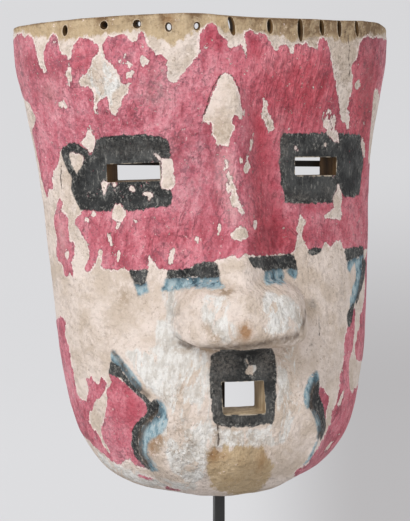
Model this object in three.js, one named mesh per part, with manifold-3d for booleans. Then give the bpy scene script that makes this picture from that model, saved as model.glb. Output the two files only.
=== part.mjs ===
// A carved wooden mask held up by its display stand, in millimetres, +Z up.
// The face looks along -Y and +X is to the right of someone facing it.
// The origin is under the middle of the stand's foot, straight below the rod.
// The mask is drawn in its own frame: x across, y from the back plane, z from the tip of the chin.
import * as THREE from "three";
import { mergeVertices } from "three/addons/utils/BufferGeometryUtils.js";
import Module from "manifold-3d";

// Outside of the mask, from the chin up. left and right are the half widths at height z,
// front is the depth before the back plane at the middle, and rim is that of the back edge.
const OUTSIDE = [
  { z: 0, left: 0, right: 0, front: 52, rim: 52 },
  { z: 2, left: 30, right: 22, front: 63, rim: 41 },
  { z: 6, left: 50, right: 39, front: 71, rim: 34 },
  { z: 14, left: 65.5, right: 60, front: 80, rim: 25.8 },
  { z: 24, left: 74, right: 73, front: 87, rim: 17 },
  { z: 38, left: 81, right: 84, front: 92, rim: 8 },
  { z: 56, left: 86, right: 91, front: 95, rim: 2 },
  { z: 85, left: 91, right: 97, front: 94, rim: 0 },
  { z: 115, left: 94, right: 100, front: 87, rim: 0 },
  { z: 146, left: 97, right: 102, front: 80, rim: 0 },
  { z: 195, left: 102, right: 105, front: 78, rim: 0 },
  { z: 238, left: 110, right: 112, front: 84, rim: 0 },
  { z: 262, left: 115, right: 116, front: 88, rim: 0 },
  { z: 283, left: 116, right: 117, front: 89, rim: 0 },
];
const MASK_HEIGHT = OUTSIDE.at(-1).z;

// Inside of the hollow. It opens past the back plane and past the top edge.
const PAST = 12;
const HOLLOW = [
  { z: 12, left: 0, right: 0, front: 30, rim: 30 },
  { z: 13, left: 28, right: 26, front: 49, rim: -PAST },
  { z: 24, left: 55, right: 54, front: 62, rim: -PAST },
  { z: 38, left: 67, right: 69, front: 70, rim: -PAST },
  { z: 60, left: 74, right: 78, front: 74, rim: -PAST },
  { z: 90, left: 79, right: 85, front: 72, rim: -PAST },
  { z: 120, left: 82, right: 88, front: 67, rim: -PAST },
  { z: 195, left: 89, right: 92, front: 62, rim: -PAST },
  { z: 240, left: 98, right: 100, front: 72, rim: -PAST },
  { z: MASK_HEIGHT, left: 107, right: 108, front: 80, rim: -PAST },
  { z: MASK_HEIGHT + PAST, left: 109, right: 110, front: 82, rim: -PAST },
];

// Power of the rounded section: an ellipse, a little flatter over each eye.
const ELLIPSE_POWER = 2;
const EYE_FLATTENING = { z: 190, reach: 55, amount: 0.15 };

// Bridge of the nose, from its foot up: half width and height off the face.
const BRIDGE = [
  { z: 84, half: 26, height: 0 },
  { z: 92, half: 28, height: 14 },
  { z: 102, half: 29.5, height: 24 },
  { z: 125, half: 29.5, height: 24.5 },
  { z: 151, half: 27.5, height: 21 },
  { z: 200, half: 20, height: 13.7 },
  { z: 236, half: 12, height: 6.5 },
  { z: 250, half: 6, height: 0 },
];
const BRIDGE_CREST = 1.7;
const BRIDGE_FOOT = 1.4;
// Blunt tip of the nose, a rounded box that hangs a little over the lip.
// It spreads towards its lower edge. The powers set how square it is across, above its middle and below it.
const NOSE_TIP = {
  x: 2.8,
  z: 110.3,
  halfWidth: 40,
  halfHeight: 19.1,
  height: 29,
  spread: 0.05,
  across: 4,
  above: 2.6,
  below: 5,
  wall: 0.62,
};
const NOSE_BLEND = 5;
const NOSE_HANG = { drop: 5, from: 118, to: 92, fullAt: 20 };

// Raised muzzle round the mouth: its half width pinches in at the corners of the mouth.
const MUZZLE = [
  { z: 0, half: 22 },
  { z: 6, half: 33 },
  { z: 12, half: 42 },
  { z: 20, half: 49 },
  { z: 30, half: 54 },
  { z: 38, half: 54 },
  { z: 46, half: 49 },
  { z: 54, half: 44 },
  { z: 62, half: 49 },
  { z: 72, half: 57 },
  { z: 82, half: 66 },
  { z: 95, half: 78 },
];
const MUZZLE_RISE = { height: 9, from: 96, full: 22, edge: 5 };
const MUZZLE_CREST = { inside: 7, reach: 5, share: 0.2 };
const CHEEK_GROOVE = { outside: 9, reach: 7, share: 0.3 };
const CHIN_BOSS = { z: 19, halfWidth: 25, halfHeight: 21, height: 4.5 };

// Openings cut through the face. turn is the angle that each eye's cut faces outwards,
// and tilt the angle at which a cut rises towards the back.
const EYES = [
  { x: -55.6, z: 192.5, width: 32.6, height: 10.8, turn: -31, tilt: 5.5 },
  { x: 55.9, z: 194.4, width: 32.4, height: 10.8, turn: 15, tilt: 3 },
];
const MOUTH = { x: 0, z: 59.8, width: 25.2, height: 18.4, tilt: 6 };
const CUT_LENGTH = 70;

// Cord holes along the top: the five on the left are nearly round, the others are worn into slots.
const RIM_HOLES = [
  { x: -92.4, z: 276.7, halfWidth: 1.7, halfHeight: 2.4 },
  { x: -72.1, z: 278.6, halfWidth: 2, halfHeight: 2.4 },
  { x: -54.2, z: 278.4, halfWidth: 1.9, halfHeight: 2.4 },
  { x: -36.6, z: 276.1, halfWidth: 2.1, halfHeight: 2.4 },
  { x: -20.3, z: 276.4, halfWidth: 2, halfHeight: 2.2 },
  { x: 0, z: 277, halfWidth: 1.5, halfHeight: 4.1 },
  { x: 23.7, z: 276.2, halfWidth: 1.5, halfHeight: 3.1 },
  { x: 43.2, z: 274.8, halfWidth: 1.5, halfHeight: 4.7 },
  { x: 57.7, z: 276.4, halfWidth: 1.4, halfHeight: 3.4 },
  { x: 70.2, z: 276.8, halfWidth: 1.4, halfHeight: 3.9 },
  { x: 83.6, z: 276.9, halfWidth: 1.4, halfHeight: 3.4 },
];
const RIM_HOLE_LENGTH = 40;
const RIM_HOLE_SIDES = 10;

// Stand: a square rod with a cross bar welded on top, in a socket in a steel foot.
const FOOT = { width: 150, depth: 120, thick: 8, corner: 6, bevel: 1 };
const ROD = { side: 6, y: 23 };
const BAR = { side: 3.6, centre: 198.8, intoWall: 5 };
const SOCKET_DEPTH = 6;
const GAP = 0.3;
const CHIN_ABOVE_FOOT = 70;

// The mask leans a little to the left on its bar, and hangs a little to the left of the rod.
const MASK_ASIDE = -4.2;
const ROLL_DEGREES = 1.3;
const ROLL_CENTRE = MASK_HEIGHT / 2;

// Spacing of the modelled surface: rows get closer round the chin and the tip of the nose.
const CHIN_ROWS = { upTo: 24, count: 8 };
const ROW_BANDS = [
  { upTo: 84, step: 6 },
  { upTo: 104, step: 2.5 },
  { upTo: 132, step: 4 },
  { upTo: 236, step: 7.5 },
  { upTo: 254, step: 4 },
  { upTo: MASK_HEIGHT, step: 7.25 },
];
const OUTSIDE_COLUMNS = 54;
const HOLLOW_COLUMNS = 30;
const HOLLOW_ROWS = 24;
const MIDDLE_DENSITY = { outside: 0.686, hollow: 0.72 };
// The columns of the outside are centred on the tip of the nose, so that one runs down each of its edges.
const NOSE_TURN_DEGREES = 1.65;

const PAINTED_WOOD = new THREE.MeshStandardMaterial({ color: 0xc9a79f, roughness: 0.75, metalness: 0 });
const BLACK_STEEL = new THREE.MeshStandardMaterial({ color: 0x2b2b2c, roughness: 0.5, metalness: 0.6 });

const wasm = await Module();
wasm.setup();

const radians = THREE.MathUtils.degToRad;
const bell = (distance, reach) => Math.exp(-((distance / reach) ** 2));

// Smooth step from 0 at from to 1 at to, either way round.
function ease(x, from, to) {
  const t = THREE.MathUtils.clamp((x - from) / (to - from), 0, 1);
  return t * t * (3 - 2 * t);
}

// Value of a table's column at height z, on a smooth curve that never overshoots its rows.
// The curve runs over the square root of z, so that widths close round at the chin.
function follow(table, column, z) {
  const t = table.map((row) => Math.sqrt(row.z));
  const y = table.map((row) => row[column]);
  const last = t.length - 1;
  const at = THREE.MathUtils.clamp(Math.sqrt(Math.max(z, 0)), t[0], t[last]);
  const step = (k) => t[k + 1] - t[k];
  const slope = (k) => (y[k + 1] - y[k]) / step(k);
  const tangent = (k) => {
    if (k === 0) return slope(0);
    if (k === last) return slope(last - 1);
    if (slope(k - 1) * slope(k) <= 0) return 0;
    const before = 2 * step(k) + step(k - 1);
    const after = step(k) + 2 * step(k - 1);
    return (before + after) / (before / slope(k - 1) + after / slope(k));
  };
  let k = 0;
  while (k < last - 1 && at > t[k + 1]) k += 1;
  const h = step(k);
  const s = (at - t[k]) / h;
  return (
    (1 + 2 * s) * (1 - s) ** 2 * y[k] +
    s * (1 - s) ** 2 * h * tangent(k) +
    s * s * (3 - 2 * s) * y[k + 1] +
    s * s * (s - 1) * h * tangent(k + 1)
  );
}

// Height of the nose off the face: the bridge and the blunt tip, blended where they meet.
function noseHeight(x, z) {
  let bridge = 0;
  if (z > BRIDGE[0].z && z < BRIDGE.at(-1).z) {
    const across = Math.min(Math.abs(x) / follow(BRIDGE, "half", z), 1);
    bridge = follow(BRIDGE, "height", z) * (1 - across ** BRIDGE_CREST) ** BRIDGE_FOOT;
  }
  const up = (z - NOSE_TIP.z) / NOSE_TIP.halfHeight;
  const halfWidth = NOSE_TIP.halfWidth * (1 - NOSE_TIP.spread * THREE.MathUtils.clamp(up, -1, 1));
  const across = Math.abs((x - NOSE_TIP.x) / halfWidth) ** NOSE_TIP.across;
  const along = Math.abs(up) ** (up > 0 ? NOSE_TIP.above : NOSE_TIP.below);
  const tip = NOSE_TIP.height * Math.max(1 - across - along, 0) ** NOSE_TIP.wall;
  return (bridge ** NOSE_BLEND + tip ** NOSE_BLEND) ** (1 / NOSE_BLEND);
}

// Height of the muzzle, with a crest just inside its edge and a groove in the cheek beside it.
function muzzleHeight(x, z) {
  const past = Math.abs(x) - follow(MUZZLE, "half", z);
  const rise = MUZZLE_RISE.height * ease(z, MUZZLE_RISE.from, MUZZLE_RISE.full);
  const crest = MUZZLE_CREST.share * bell(past + MUZZLE_CREST.inside, MUZZLE_CREST.reach);
  const groove = CHEEK_GROOVE.share * bell(past - CHEEK_GROOVE.outside, CHEEK_GROOVE.reach);
  return rise * (ease(past, MUZZLE_RISE.edge, -MUZZLE_RISE.edge) + crest - groove);
}

function chinHeight(x, z) {
  const away = Math.hypot(x / CHIN_BOSS.halfWidth, (z - CHIN_BOSS.z) / CHIN_BOSS.halfHeight);
  return CHIN_BOSS.height * ease(away, 1, 0);
}

// Plain rounded section at height z, from the left back edge (turn -90) round to the right one.
function sectionPoint(table, z, turn) {
  const power = ELLIPSE_POWER - EYE_FLATTENING.amount * bell(z - EYE_FLATTENING.z, EYE_FLATTENING.reach);
  const side = follow(table, turn < 0 ? "left" : "right", z);
  const rim = follow(table, "rim", z);
  const front = follow(table, "front", z);
  const x = side * Math.sign(turn) * Math.abs(Math.sin(turn)) ** (2 / power);
  const depth = rim + (front - rim) * Math.max(Math.cos(turn), 0) ** (2 / power);
  return new THREE.Vector3(x, -depth, z);
}

// Moves a point of the plain section out to the carved face.
function carve(point) {
  const nose = noseHeight(point.x, point.z);
  const rise = nose + muzzleHeight(point.x, point.z) + chinHeight(point.x, point.z);
  const hang = ease(nose, 0, NOSE_HANG.fullAt) * ease(point.z, NOSE_HANG.from, NOSE_HANG.to);
  return new THREE.Vector3(point.x, point.y - rise, point.z - NOSE_HANG.drop * hang);
}

// Angles round a section, closer together round its middle angle.
function turns(columns, density, middle) {
  return Array.from({ length: columns + 1 }, (_, k) => {
    const u = (2 * k) / columns - 1;
    return (Math.PI / 2) * (density * u + (1 - density) * u ** 3) + middle * (1 - u ** 2);
  });
}

// Heights of the rows of the outside, above the tip of the chin.
function outsideHeights() {
  const heights = [];
  for (let k = 1; k <= CHIN_ROWS.count; k += 1) heights.push(CHIN_ROWS.upTo * (k / CHIN_ROWS.count) ** 2);
  let from = CHIN_ROWS.upTo;
  for (const { upTo, step } of ROW_BANDS) {
    const count = Math.round((upTo - from) / step);
    for (let k = 1; k <= count; k += 1) heights.push(from + ((upTo - from) * k) / count);
    from = upTo;
  }
  return heights;
}

// Closed skin through rows of points that rise from one lowest point, with a flat top.
function closedLoft(lowest, rows) {
  const columns = rows[0].length;
  const points = [lowest, ...rows.flat()];
  const index = (row, column) => 1 + row * columns + (column % columns);
  const faces = [];
  for (let c = 0; c < columns; c += 1) faces.push(0, index(0, c + 1), index(0, c));
  for (let r = 0; r + 1 < rows.length; r += 1) {
    for (let c = 0; c < columns; c += 1) {
      const [a, b, d, e] = [index(r, c), index(r, c + 1), index(r + 1, c + 1), index(r + 1, c)];
      // The dividing line leans the other way on the right, so that both halves match.
      if (2 * c < columns) faces.push(a, b, d, a, d, e);
      else faces.push(a, b, e, b, d, e);
    }
  }
  const top = rows.length - 1;
  for (let c = 1; c + 1 < columns; c += 1) faces.push(index(top, 0), index(top, c), index(top, c + 1));
  return new THREE.BufferGeometry().setFromPoints(points).setIndex(faces);
}

function loft(table, heights, angles, shape) {
  const lowest = sectionPoint(table, table[0].z, 0);
  const rows = heights.map((z) => angles.map((angle) => shape(sectionPoint(table, z, angle))));
  return closedLoft(lowest, rows);
}

// Solid for cutting and joining, from any closed geometry.
function solid(geometry) {
  geometry.deleteAttribute("normal");
  geometry.deleteAttribute("uv");
  const merged = mergeVertices(geometry, 1e-4);
  const vertProperties = new Float32Array(merged.attributes.position.array);
  const triVerts = new Uint32Array(merged.index.array);
  return new wasm.Manifold(new wasm.Mesh({ numProp: 3, vertProperties, triVerts }));
}

function geometryOf(body) {
  const { vertProperties, triVerts } = body.getMesh();
  const geometry = new THREE.BufferGeometry();
  geometry.setAttribute("position", new THREE.BufferAttribute(vertProperties, 3));
  geometry.setIndex(new THREE.BufferAttribute(triVerts, 1));
  geometry.computeVertexNormals();
  return geometry;
}

// Angle whose section point lies at x, found by halving.
function turnAt(x, z) {
  let low = -Math.PI / 2;
  let high = Math.PI / 2;
  for (let k = 0; k < 40; k += 1) {
    const middle = (low + high) / 2;
    if (sectionPoint(OUTSIDE, z, middle).x < x) low = middle;
    else high = middle;
  }
  return low;
}

function eyeCut({ x, z, width, height, turn, tilt }) {
  const face = sectionPoint(OUTSIDE, z, turnAt(x, z));
  const cut = new THREE.BoxGeometry(width, CUT_LENGTH, height).rotateX(radians(tilt)).rotateZ(radians(turn));
  return cut.translate(x, face.y, z);
}

function mouthCut() {
  const face = carve(sectionPoint(OUTSIDE, MOUTH.z, 0));
  const cut = new THREE.BoxGeometry(MOUTH.width, CUT_LENGTH, MOUTH.height).rotateX(radians(MOUTH.tilt));
  return cut.translate(MOUTH.x, face.y, MOUTH.z);
}

// A cord hole straight through the wall, its section an ellipse.
function rimHoleCut({ x, z, halfWidth, halfHeight }) {
  const turn = turnAt(x, z);
  const [before, at, after] = [-0.01, 0, 0.01].map((d) => sectionPoint(OUTSIDE, z, turn + d));
  const facing = Math.atan2(after.y - before.y, after.x - before.x);
  return new THREE.CylinderGeometry(halfWidth, halfWidth, RIM_HOLE_LENGTH, RIM_HOLE_SIDES)
    .scale(1, 1, halfHeight / halfWidth)
    .rotateZ(facing)
    .translate(at.x, at.y, z);
}

// Where the mask hangs in the part's frame: rolled about its middle, over the foot.
function maskPlacement() {
  const height = FOOT.thick + CHIN_ABOVE_FOOT + ROLL_CENTRE;
  const up = new THREE.Matrix4().makeTranslation(MASK_ASIDE, ROD.y, height);
  const roll = new THREE.Matrix4().makeRotationY(radians(-ROLL_DEGREES));
  const down = new THREE.Matrix4().makeTranslation(0, 0, -ROLL_CENTRE);
  return up.multiply(roll).multiply(down);
}

// Reach of the bar's end on one side: just into the side wall of the hollow.
function barReach(side) {
  const column = side < 0 ? "left" : "right";
  const power = 2 / ELLIPSE_POWER;
  const z = BAR.centre;
  const out = (ROD.y / follow(HOLLOW, "front", z)) ** (2 / power);
  return follow(HOLLOW, column, z) * (1 - out) ** (power / 2) + BAR.intoWall;
}

// The cross bar in the part's frame, grown all round by a clearance.
function barBox(clearance) {
  const reach = [-barReach(-1) - clearance, barReach(1) + clearance];
  const side = BAR.side + 2 * clearance;
  const height = FOOT.thick + CHIN_ABOVE_FOOT + BAR.centre;
  return new THREE.BoxGeometry(reach[1] - reach[0], side, side).translate(
    MASK_ASIDE + (reach[0] + reach[1]) / 2,
    0,
    height,
  );
}

function maskGeometry() {
  const identity = (point) => point;
  const hollowFrom = HOLLOW[1].z;
  const hollowTo = HOLLOW.at(-1).z;
  const hollowHeights = Array.from(
    { length: HOLLOW_ROWS + 1 },
    (_, k) => hollowFrom + ((hollowTo - hollowFrom) * k) / HOLLOW_ROWS,
  );
  const outsideAngles = turns(OUTSIDE_COLUMNS, MIDDLE_DENSITY.outside, radians(NOSE_TURN_DEGREES));
  const hollowAngles = turns(HOLLOW_COLUMNS, MIDDLE_DENSITY.hollow, 0);
  let body = solid(loft(OUTSIDE, outsideHeights(), outsideAngles, carve));
  body = body.subtract(solid(loft(HOLLOW, hollowHeights, hollowAngles, identity)));
  const cuts = [...EYES.map(eyeCut), mouthCut(), ...RIM_HOLES.map(rimHoleCut)];
  cuts.push(barBox(GAP).applyMatrix4(maskPlacement().invert()));
  for (const cut of cuts) body = body.subtract(solid(cut));
  return geometryOf(body);
}

function footGeometry() {
  const { width, depth, thick, corner, bevel } = FOOT;
  const [right, back] = [width / 2 - bevel, depth / 2 - bevel];
  const outline = new THREE.Shape();
  outline.absarc(right - corner, back - corner, corner, 0, Math.PI / 2);
  outline.absarc(corner - right, back - corner, corner, Math.PI / 2, Math.PI);
  outline.absarc(corner - right, corner - back, corner, Math.PI, 1.5 * Math.PI);
  outline.absarc(right - corner, corner - back, corner, 1.5 * Math.PI, 2 * Math.PI);
  const plate = new THREE.ExtrudeGeometry(outline, {
    depth: thick - 2 * bevel,
    bevelThickness: bevel,
    bevelSize: bevel,
    bevelSegments: 1,
    curveSegments: 5,
  }).translate(0, 0, bevel);
  const socketSide = ROD.side + 2 * GAP;
  const socketHeight = SOCKET_DEPTH + PAST;
  const socket = new THREE.BoxGeometry(socketSide, socketSide, socketHeight);
  socket.translate(0, 0, thick - SOCKET_DEPTH + socketHeight / 2);
  return geometryOf(solid(plate).subtract(solid(socket)));
}

function rodGeometry() {
  const from = FOOT.thick - SOCKET_DEPTH + GAP;
  const to = FOOT.thick + CHIN_ABOVE_FOOT + BAR.centre + BAR.side / 2;
  const rod = new THREE.BoxGeometry(ROD.side, ROD.side, to - from).translate(0, 0, (from + to) / 2);
  return geometryOf(solid(rod).add(solid(barBox(0))));
}

const maskMesh = new THREE.Mesh(maskGeometry(), PAINTED_WOOD);
maskMesh.name = "mask";
const maskHolder = new THREE.Group();
maskHolder.applyMatrix4(maskPlacement());
maskHolder.add(maskMesh);

const rodMesh = new THREE.Mesh(rodGeometry(), BLACK_STEEL);
rodMesh.name = "stand_rod";

const footMesh = new THREE.Mesh(footGeometry(), BLACK_STEEL);
footMesh.name = "stand_foot";

const maskOnStand = new THREE.Group();
maskOnStand.add(maskHolder, rodMesh, footMesh);

export default maskOnStand;
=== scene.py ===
"""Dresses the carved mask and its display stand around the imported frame, in metres, +Z up.

The mask is drawn in millimetres in its own frame, as in the solids: x across, y from the back plane and
z from the tip of the chin. Its paint is laid out as outlines seen by the camera and carried onto the wood.
"""

import logging
import math
from dataclasses import dataclass, field
from enum import Enum
from functools import cached_property
from typing import Any, NamedTuple, Sequence

import bpy
import numpy as np
from bpy.types import Material, Mesh, Modifier, Node, NodeSocket, NodeTree, Object
from mathutils import Matrix, Vector


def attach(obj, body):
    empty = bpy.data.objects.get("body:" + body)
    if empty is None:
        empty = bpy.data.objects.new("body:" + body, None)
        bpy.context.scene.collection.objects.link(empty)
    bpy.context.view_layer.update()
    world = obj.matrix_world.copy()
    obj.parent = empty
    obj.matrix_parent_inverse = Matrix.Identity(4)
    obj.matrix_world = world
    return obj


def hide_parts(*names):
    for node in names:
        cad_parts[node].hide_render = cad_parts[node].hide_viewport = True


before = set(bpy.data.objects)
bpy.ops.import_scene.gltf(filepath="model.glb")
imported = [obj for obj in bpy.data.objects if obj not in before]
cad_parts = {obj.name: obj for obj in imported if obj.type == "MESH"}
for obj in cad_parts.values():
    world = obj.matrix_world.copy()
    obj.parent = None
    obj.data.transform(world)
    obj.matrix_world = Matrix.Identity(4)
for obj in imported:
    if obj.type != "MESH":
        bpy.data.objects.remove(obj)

LOG = logging.getLogger("mask")
MM = 0.001
BODY = "root"
VIEW_TURN = math.radians(12.5)
TINY = 1e-9

Array = np.ndarray
Triple = tuple[float, float, float]
Span = tuple[float, float]
Outline = Sequence[Span]
Colour = tuple[float, float, float, float]
Paint = dict["Layer", Array]


class Layer(Enum):
    """Paint, wear, painted shade and painted highlight that the skin of the mask carries, each as a distance
    or a share at every vertex.
    """

    WOOD = "bare_wood"
    # White paint, and painted light on the chin's underside.
    WHITE = "white_paint"
    PINK = "pink_paint"
    BLUE = "blue_paint"
    BLACK = "black_paint"
    # Deep red paint, and painted shade in the hollows beside the nose and the muzzle.
    DEEP = "deep_red"
    # Stains, and painted shade under and to the right of the nose and at the band's right end.
    STAIN_AND_SHADE = "brown_stain"
    OCHRE = "ochre_stain"
    SCUFF = "grey_scuff"
    RIDGE = "brush_ridge"
    # Dark cracks, and painted shadow along the paint's edge round the top of the nose loss.
    CRACK_AND_EDGE_SHADE = "dark_crack"
    # Painted shade in the corner under the nose and in the grooves along the muzzle.
    CREASE = "dirty_corner"
    # Darker pink, partly painted shade beside and below the nose's right side.
    DEEP_PINK = "deep_pink"
    CHIP = "chipped_edge"
    TOP = "top_edge"


class Face(Enum):
    """Kinds of surface on the mask, in the order of its material slots."""

    SKIN = 0
    HOLLOW = 1
    OPENING = 2
    MOUTH = 3
    RIM = 4


def colour(red: int, green: int, blue: int) -> Colour:
    """Linear colour from screen values of 0 to 255.

    Args:
        red: Red part.
        green: Green part.
        blue: Blue part.

    Returns:
        The colour, opaque.
    """
    parts = (c / 255 for c in (red, green, blue))
    linear = [p / 12.92 if p <= 0.04045 else ((p + 0.055) / 1.055) ** 2.4 for p in parts]
    return (linear[0], linear[1], linear[2], 1.0)


def ease(x: Array, start: float, end: float) -> Array:
    """Smooth step from 0 at start to 1 at end, either way round.

    Args:
        x: Values.
        start: Where the step begins.
        end: Where it ends.

    Returns:
        The step at each value.
    """
    t = np.clip((x - start) / (end - start), 0, 1)
    return t * t * (3 - 2 * t)


def bell(distance: Array, reach: float) -> Array:
    """Rounded bump of height 1 that fades over reach."""
    return np.exp(-((distance / reach) ** 2))


def patchwork(u: Array, v: Array, cell: float, seed: int) -> Array:
    """Smooth random field over a plane.

    Args:
        u: First coordinate of each point.
        v: Second coordinate of each point.
        cell: Size of one patch, in the same unit.
        seed: Seed of the random values.

    Returns:
        A value from 0 to 1 for each point.
    """
    side = 257
    values = np.random.default_rng(seed).random((side, side))
    iu, iv = np.floor(u / cell).astype(int), np.floor(v / cell).astype(int)
    fu, fv = u / cell - iu, v / cell - iv
    su, sv = fu * fu * (3 - 2 * fu), fv * fv * (3 - 2 * fv)
    a, b = iu % side, (iu + 1) % side
    c, d = iv % side, (iv + 1) % side
    low = values[a, c] * (1 - su) + values[b, c] * su
    high = values[a, d] * (1 - su) + values[b, d] * su
    return low * (1 - sv) + high * sv


class Unevenness(NamedTuple):
    """One smooth random field: how strong it is, the size of its patches and its seed."""

    share: float
    cell: float
    seed: int

    def at(self, u: Array, v: Array) -> Array:
        """Strength at each point of a plane."""
        return self.share * patchwork(u, v, self.cell, self.seed)


@dataclass(frozen=True)
class Track:
    """A size that follows height on a smooth curve that never overshoots its stations.

    The curve runs over the square root of the height, so that widths close round at the chin.
    """

    heights: tuple[float, ...]
    sizes: tuple[float, ...]

    def at(self, z: Array) -> Array:
        """Size at each height z.

        Args:
            z: Heights.

        Returns:
            The size at each height.
        """
        t, y = np.sqrt(np.array(self.heights)), np.array(self.sizes)
        step = np.diff(t)
        slope = np.diff(y) / step
        before, after = 2 * step[1:] + step[:-1], step[1:] + 2 * step[:-1]
        with np.errstate(divide="ignore", invalid="ignore"):
            inner = (before + after) / (before / slope[:-1] + after / slope[1:])
        inner = np.where(slope[:-1] * slope[1:] > 0, inner, 0)
        tangent = np.concatenate([slope[:1], inner, slope[-1:]])
        at = np.clip(np.sqrt(np.maximum(z, 0)), t[0], t[-1])
        k = np.clip(np.searchsorted(t, at) - 1, 0, len(t) - 2)
        s = (at - t[k]) / step[k]
        start = (1 + 2 * s) * (1 - s) ** 2 * y[k] + s * (1 - s) ** 2 * step[k] * tangent[k]
        end = s * s * (3 - 2 * s) * y[k + 1] + s * s * (s - 1) * step[k] * tangent[k + 1]
        return start + end


class Station(NamedTuple):
    """Half widths, depth at the middle and depth of the back edge at height z, in millimetres."""

    z: float
    left: float
    right: float
    front: float
    rim: float


@dataclass(frozen=True)
class Block:
    """A rounded block of wood or of air, given by its stations from the chin up."""

    stations: tuple[Station, ...]
    flattening: float = 0.15
    flattened_at: float = 190
    flattened_over: float = 55

    def track(self, column: str) -> Track:
        """One column of the stations as a size that follows height."""
        return Track(tuple(s.z for s in self.stations), tuple(getattr(s, column) for s in self.stations))

    def section(self, z: Array, turn: Array, back: float | Array = 0.0) -> Array:
        """Points of the plain rounded section.

        Args:
            z: Height of each point.
            turn: Angle of each point, from the left back edge at -90 degrees to the right one.
            back: How far the section stays in front of its back edge.

        Returns:
            The points, with their coordinates on the last axis.
        """
        power = 2 - self.flattening * bell(z - self.flattened_at, self.flattened_over)
        side = np.where(turn < 0, self.track("left").at(z), self.track("right").at(z))
        rim = self.track("rim").at(z) + back
        depth = rim + (self.track("front").at(z) - rim) * np.maximum(np.cos(turn), 0) ** (2 / power)
        x = side * np.sign(turn) * np.abs(np.sin(turn)) ** (2 / power)
        return np.stack([x, -depth, z + 0 * x], axis=-1)


MASK_HEIGHT = 283.0
PAST = 12.0
BRIDGE_HEIGHTS = (84, 92, 102, 125, 151, 200, 236, 250)
OUTSIDE = Block(
    (
        Station(0, 0, 0, 52, 52),
        Station(2, 30, 22, 63, 41),
        Station(6, 50, 39, 71, 34),
        Station(14, 65.5, 60, 80, 25.8),
        Station(24, 74, 73, 87, 17),
        Station(38, 81, 84, 92, 8),
        Station(56, 86, 91, 95, 2),
        Station(85, 91, 97, 94, 0),
        Station(115, 94, 100, 87, 0),
        Station(146, 97, 102, 80, 0),
        Station(195, 102, 105, 78, 0),
        Station(238, 110, 112, 84, 0),
        Station(262, 115, 116, 88, 0),
        Station(MASK_HEIGHT, 116, 117, 89, 0),
    )
)
HOLLOW = Block(
    (
        Station(12, 0, 0, 30, 30),
        Station(13, 28, 26, 49, -PAST),
        Station(24, 55, 54, 62, -PAST),
        Station(38, 67, 69, 70, -PAST),
        Station(60, 74, 78, 74, -PAST),
        Station(90, 79, 85, 72, -PAST),
        Station(120, 82, 88, 67, -PAST),
        Station(195, 89, 92, 62, -PAST),
        Station(240, 98, 100, 72, -PAST),
        Station(MASK_HEIGHT, 107, 108, 80, -PAST),
        Station(MASK_HEIGHT + PAST, 109, 110, 82, -PAST),
    )
)


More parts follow.
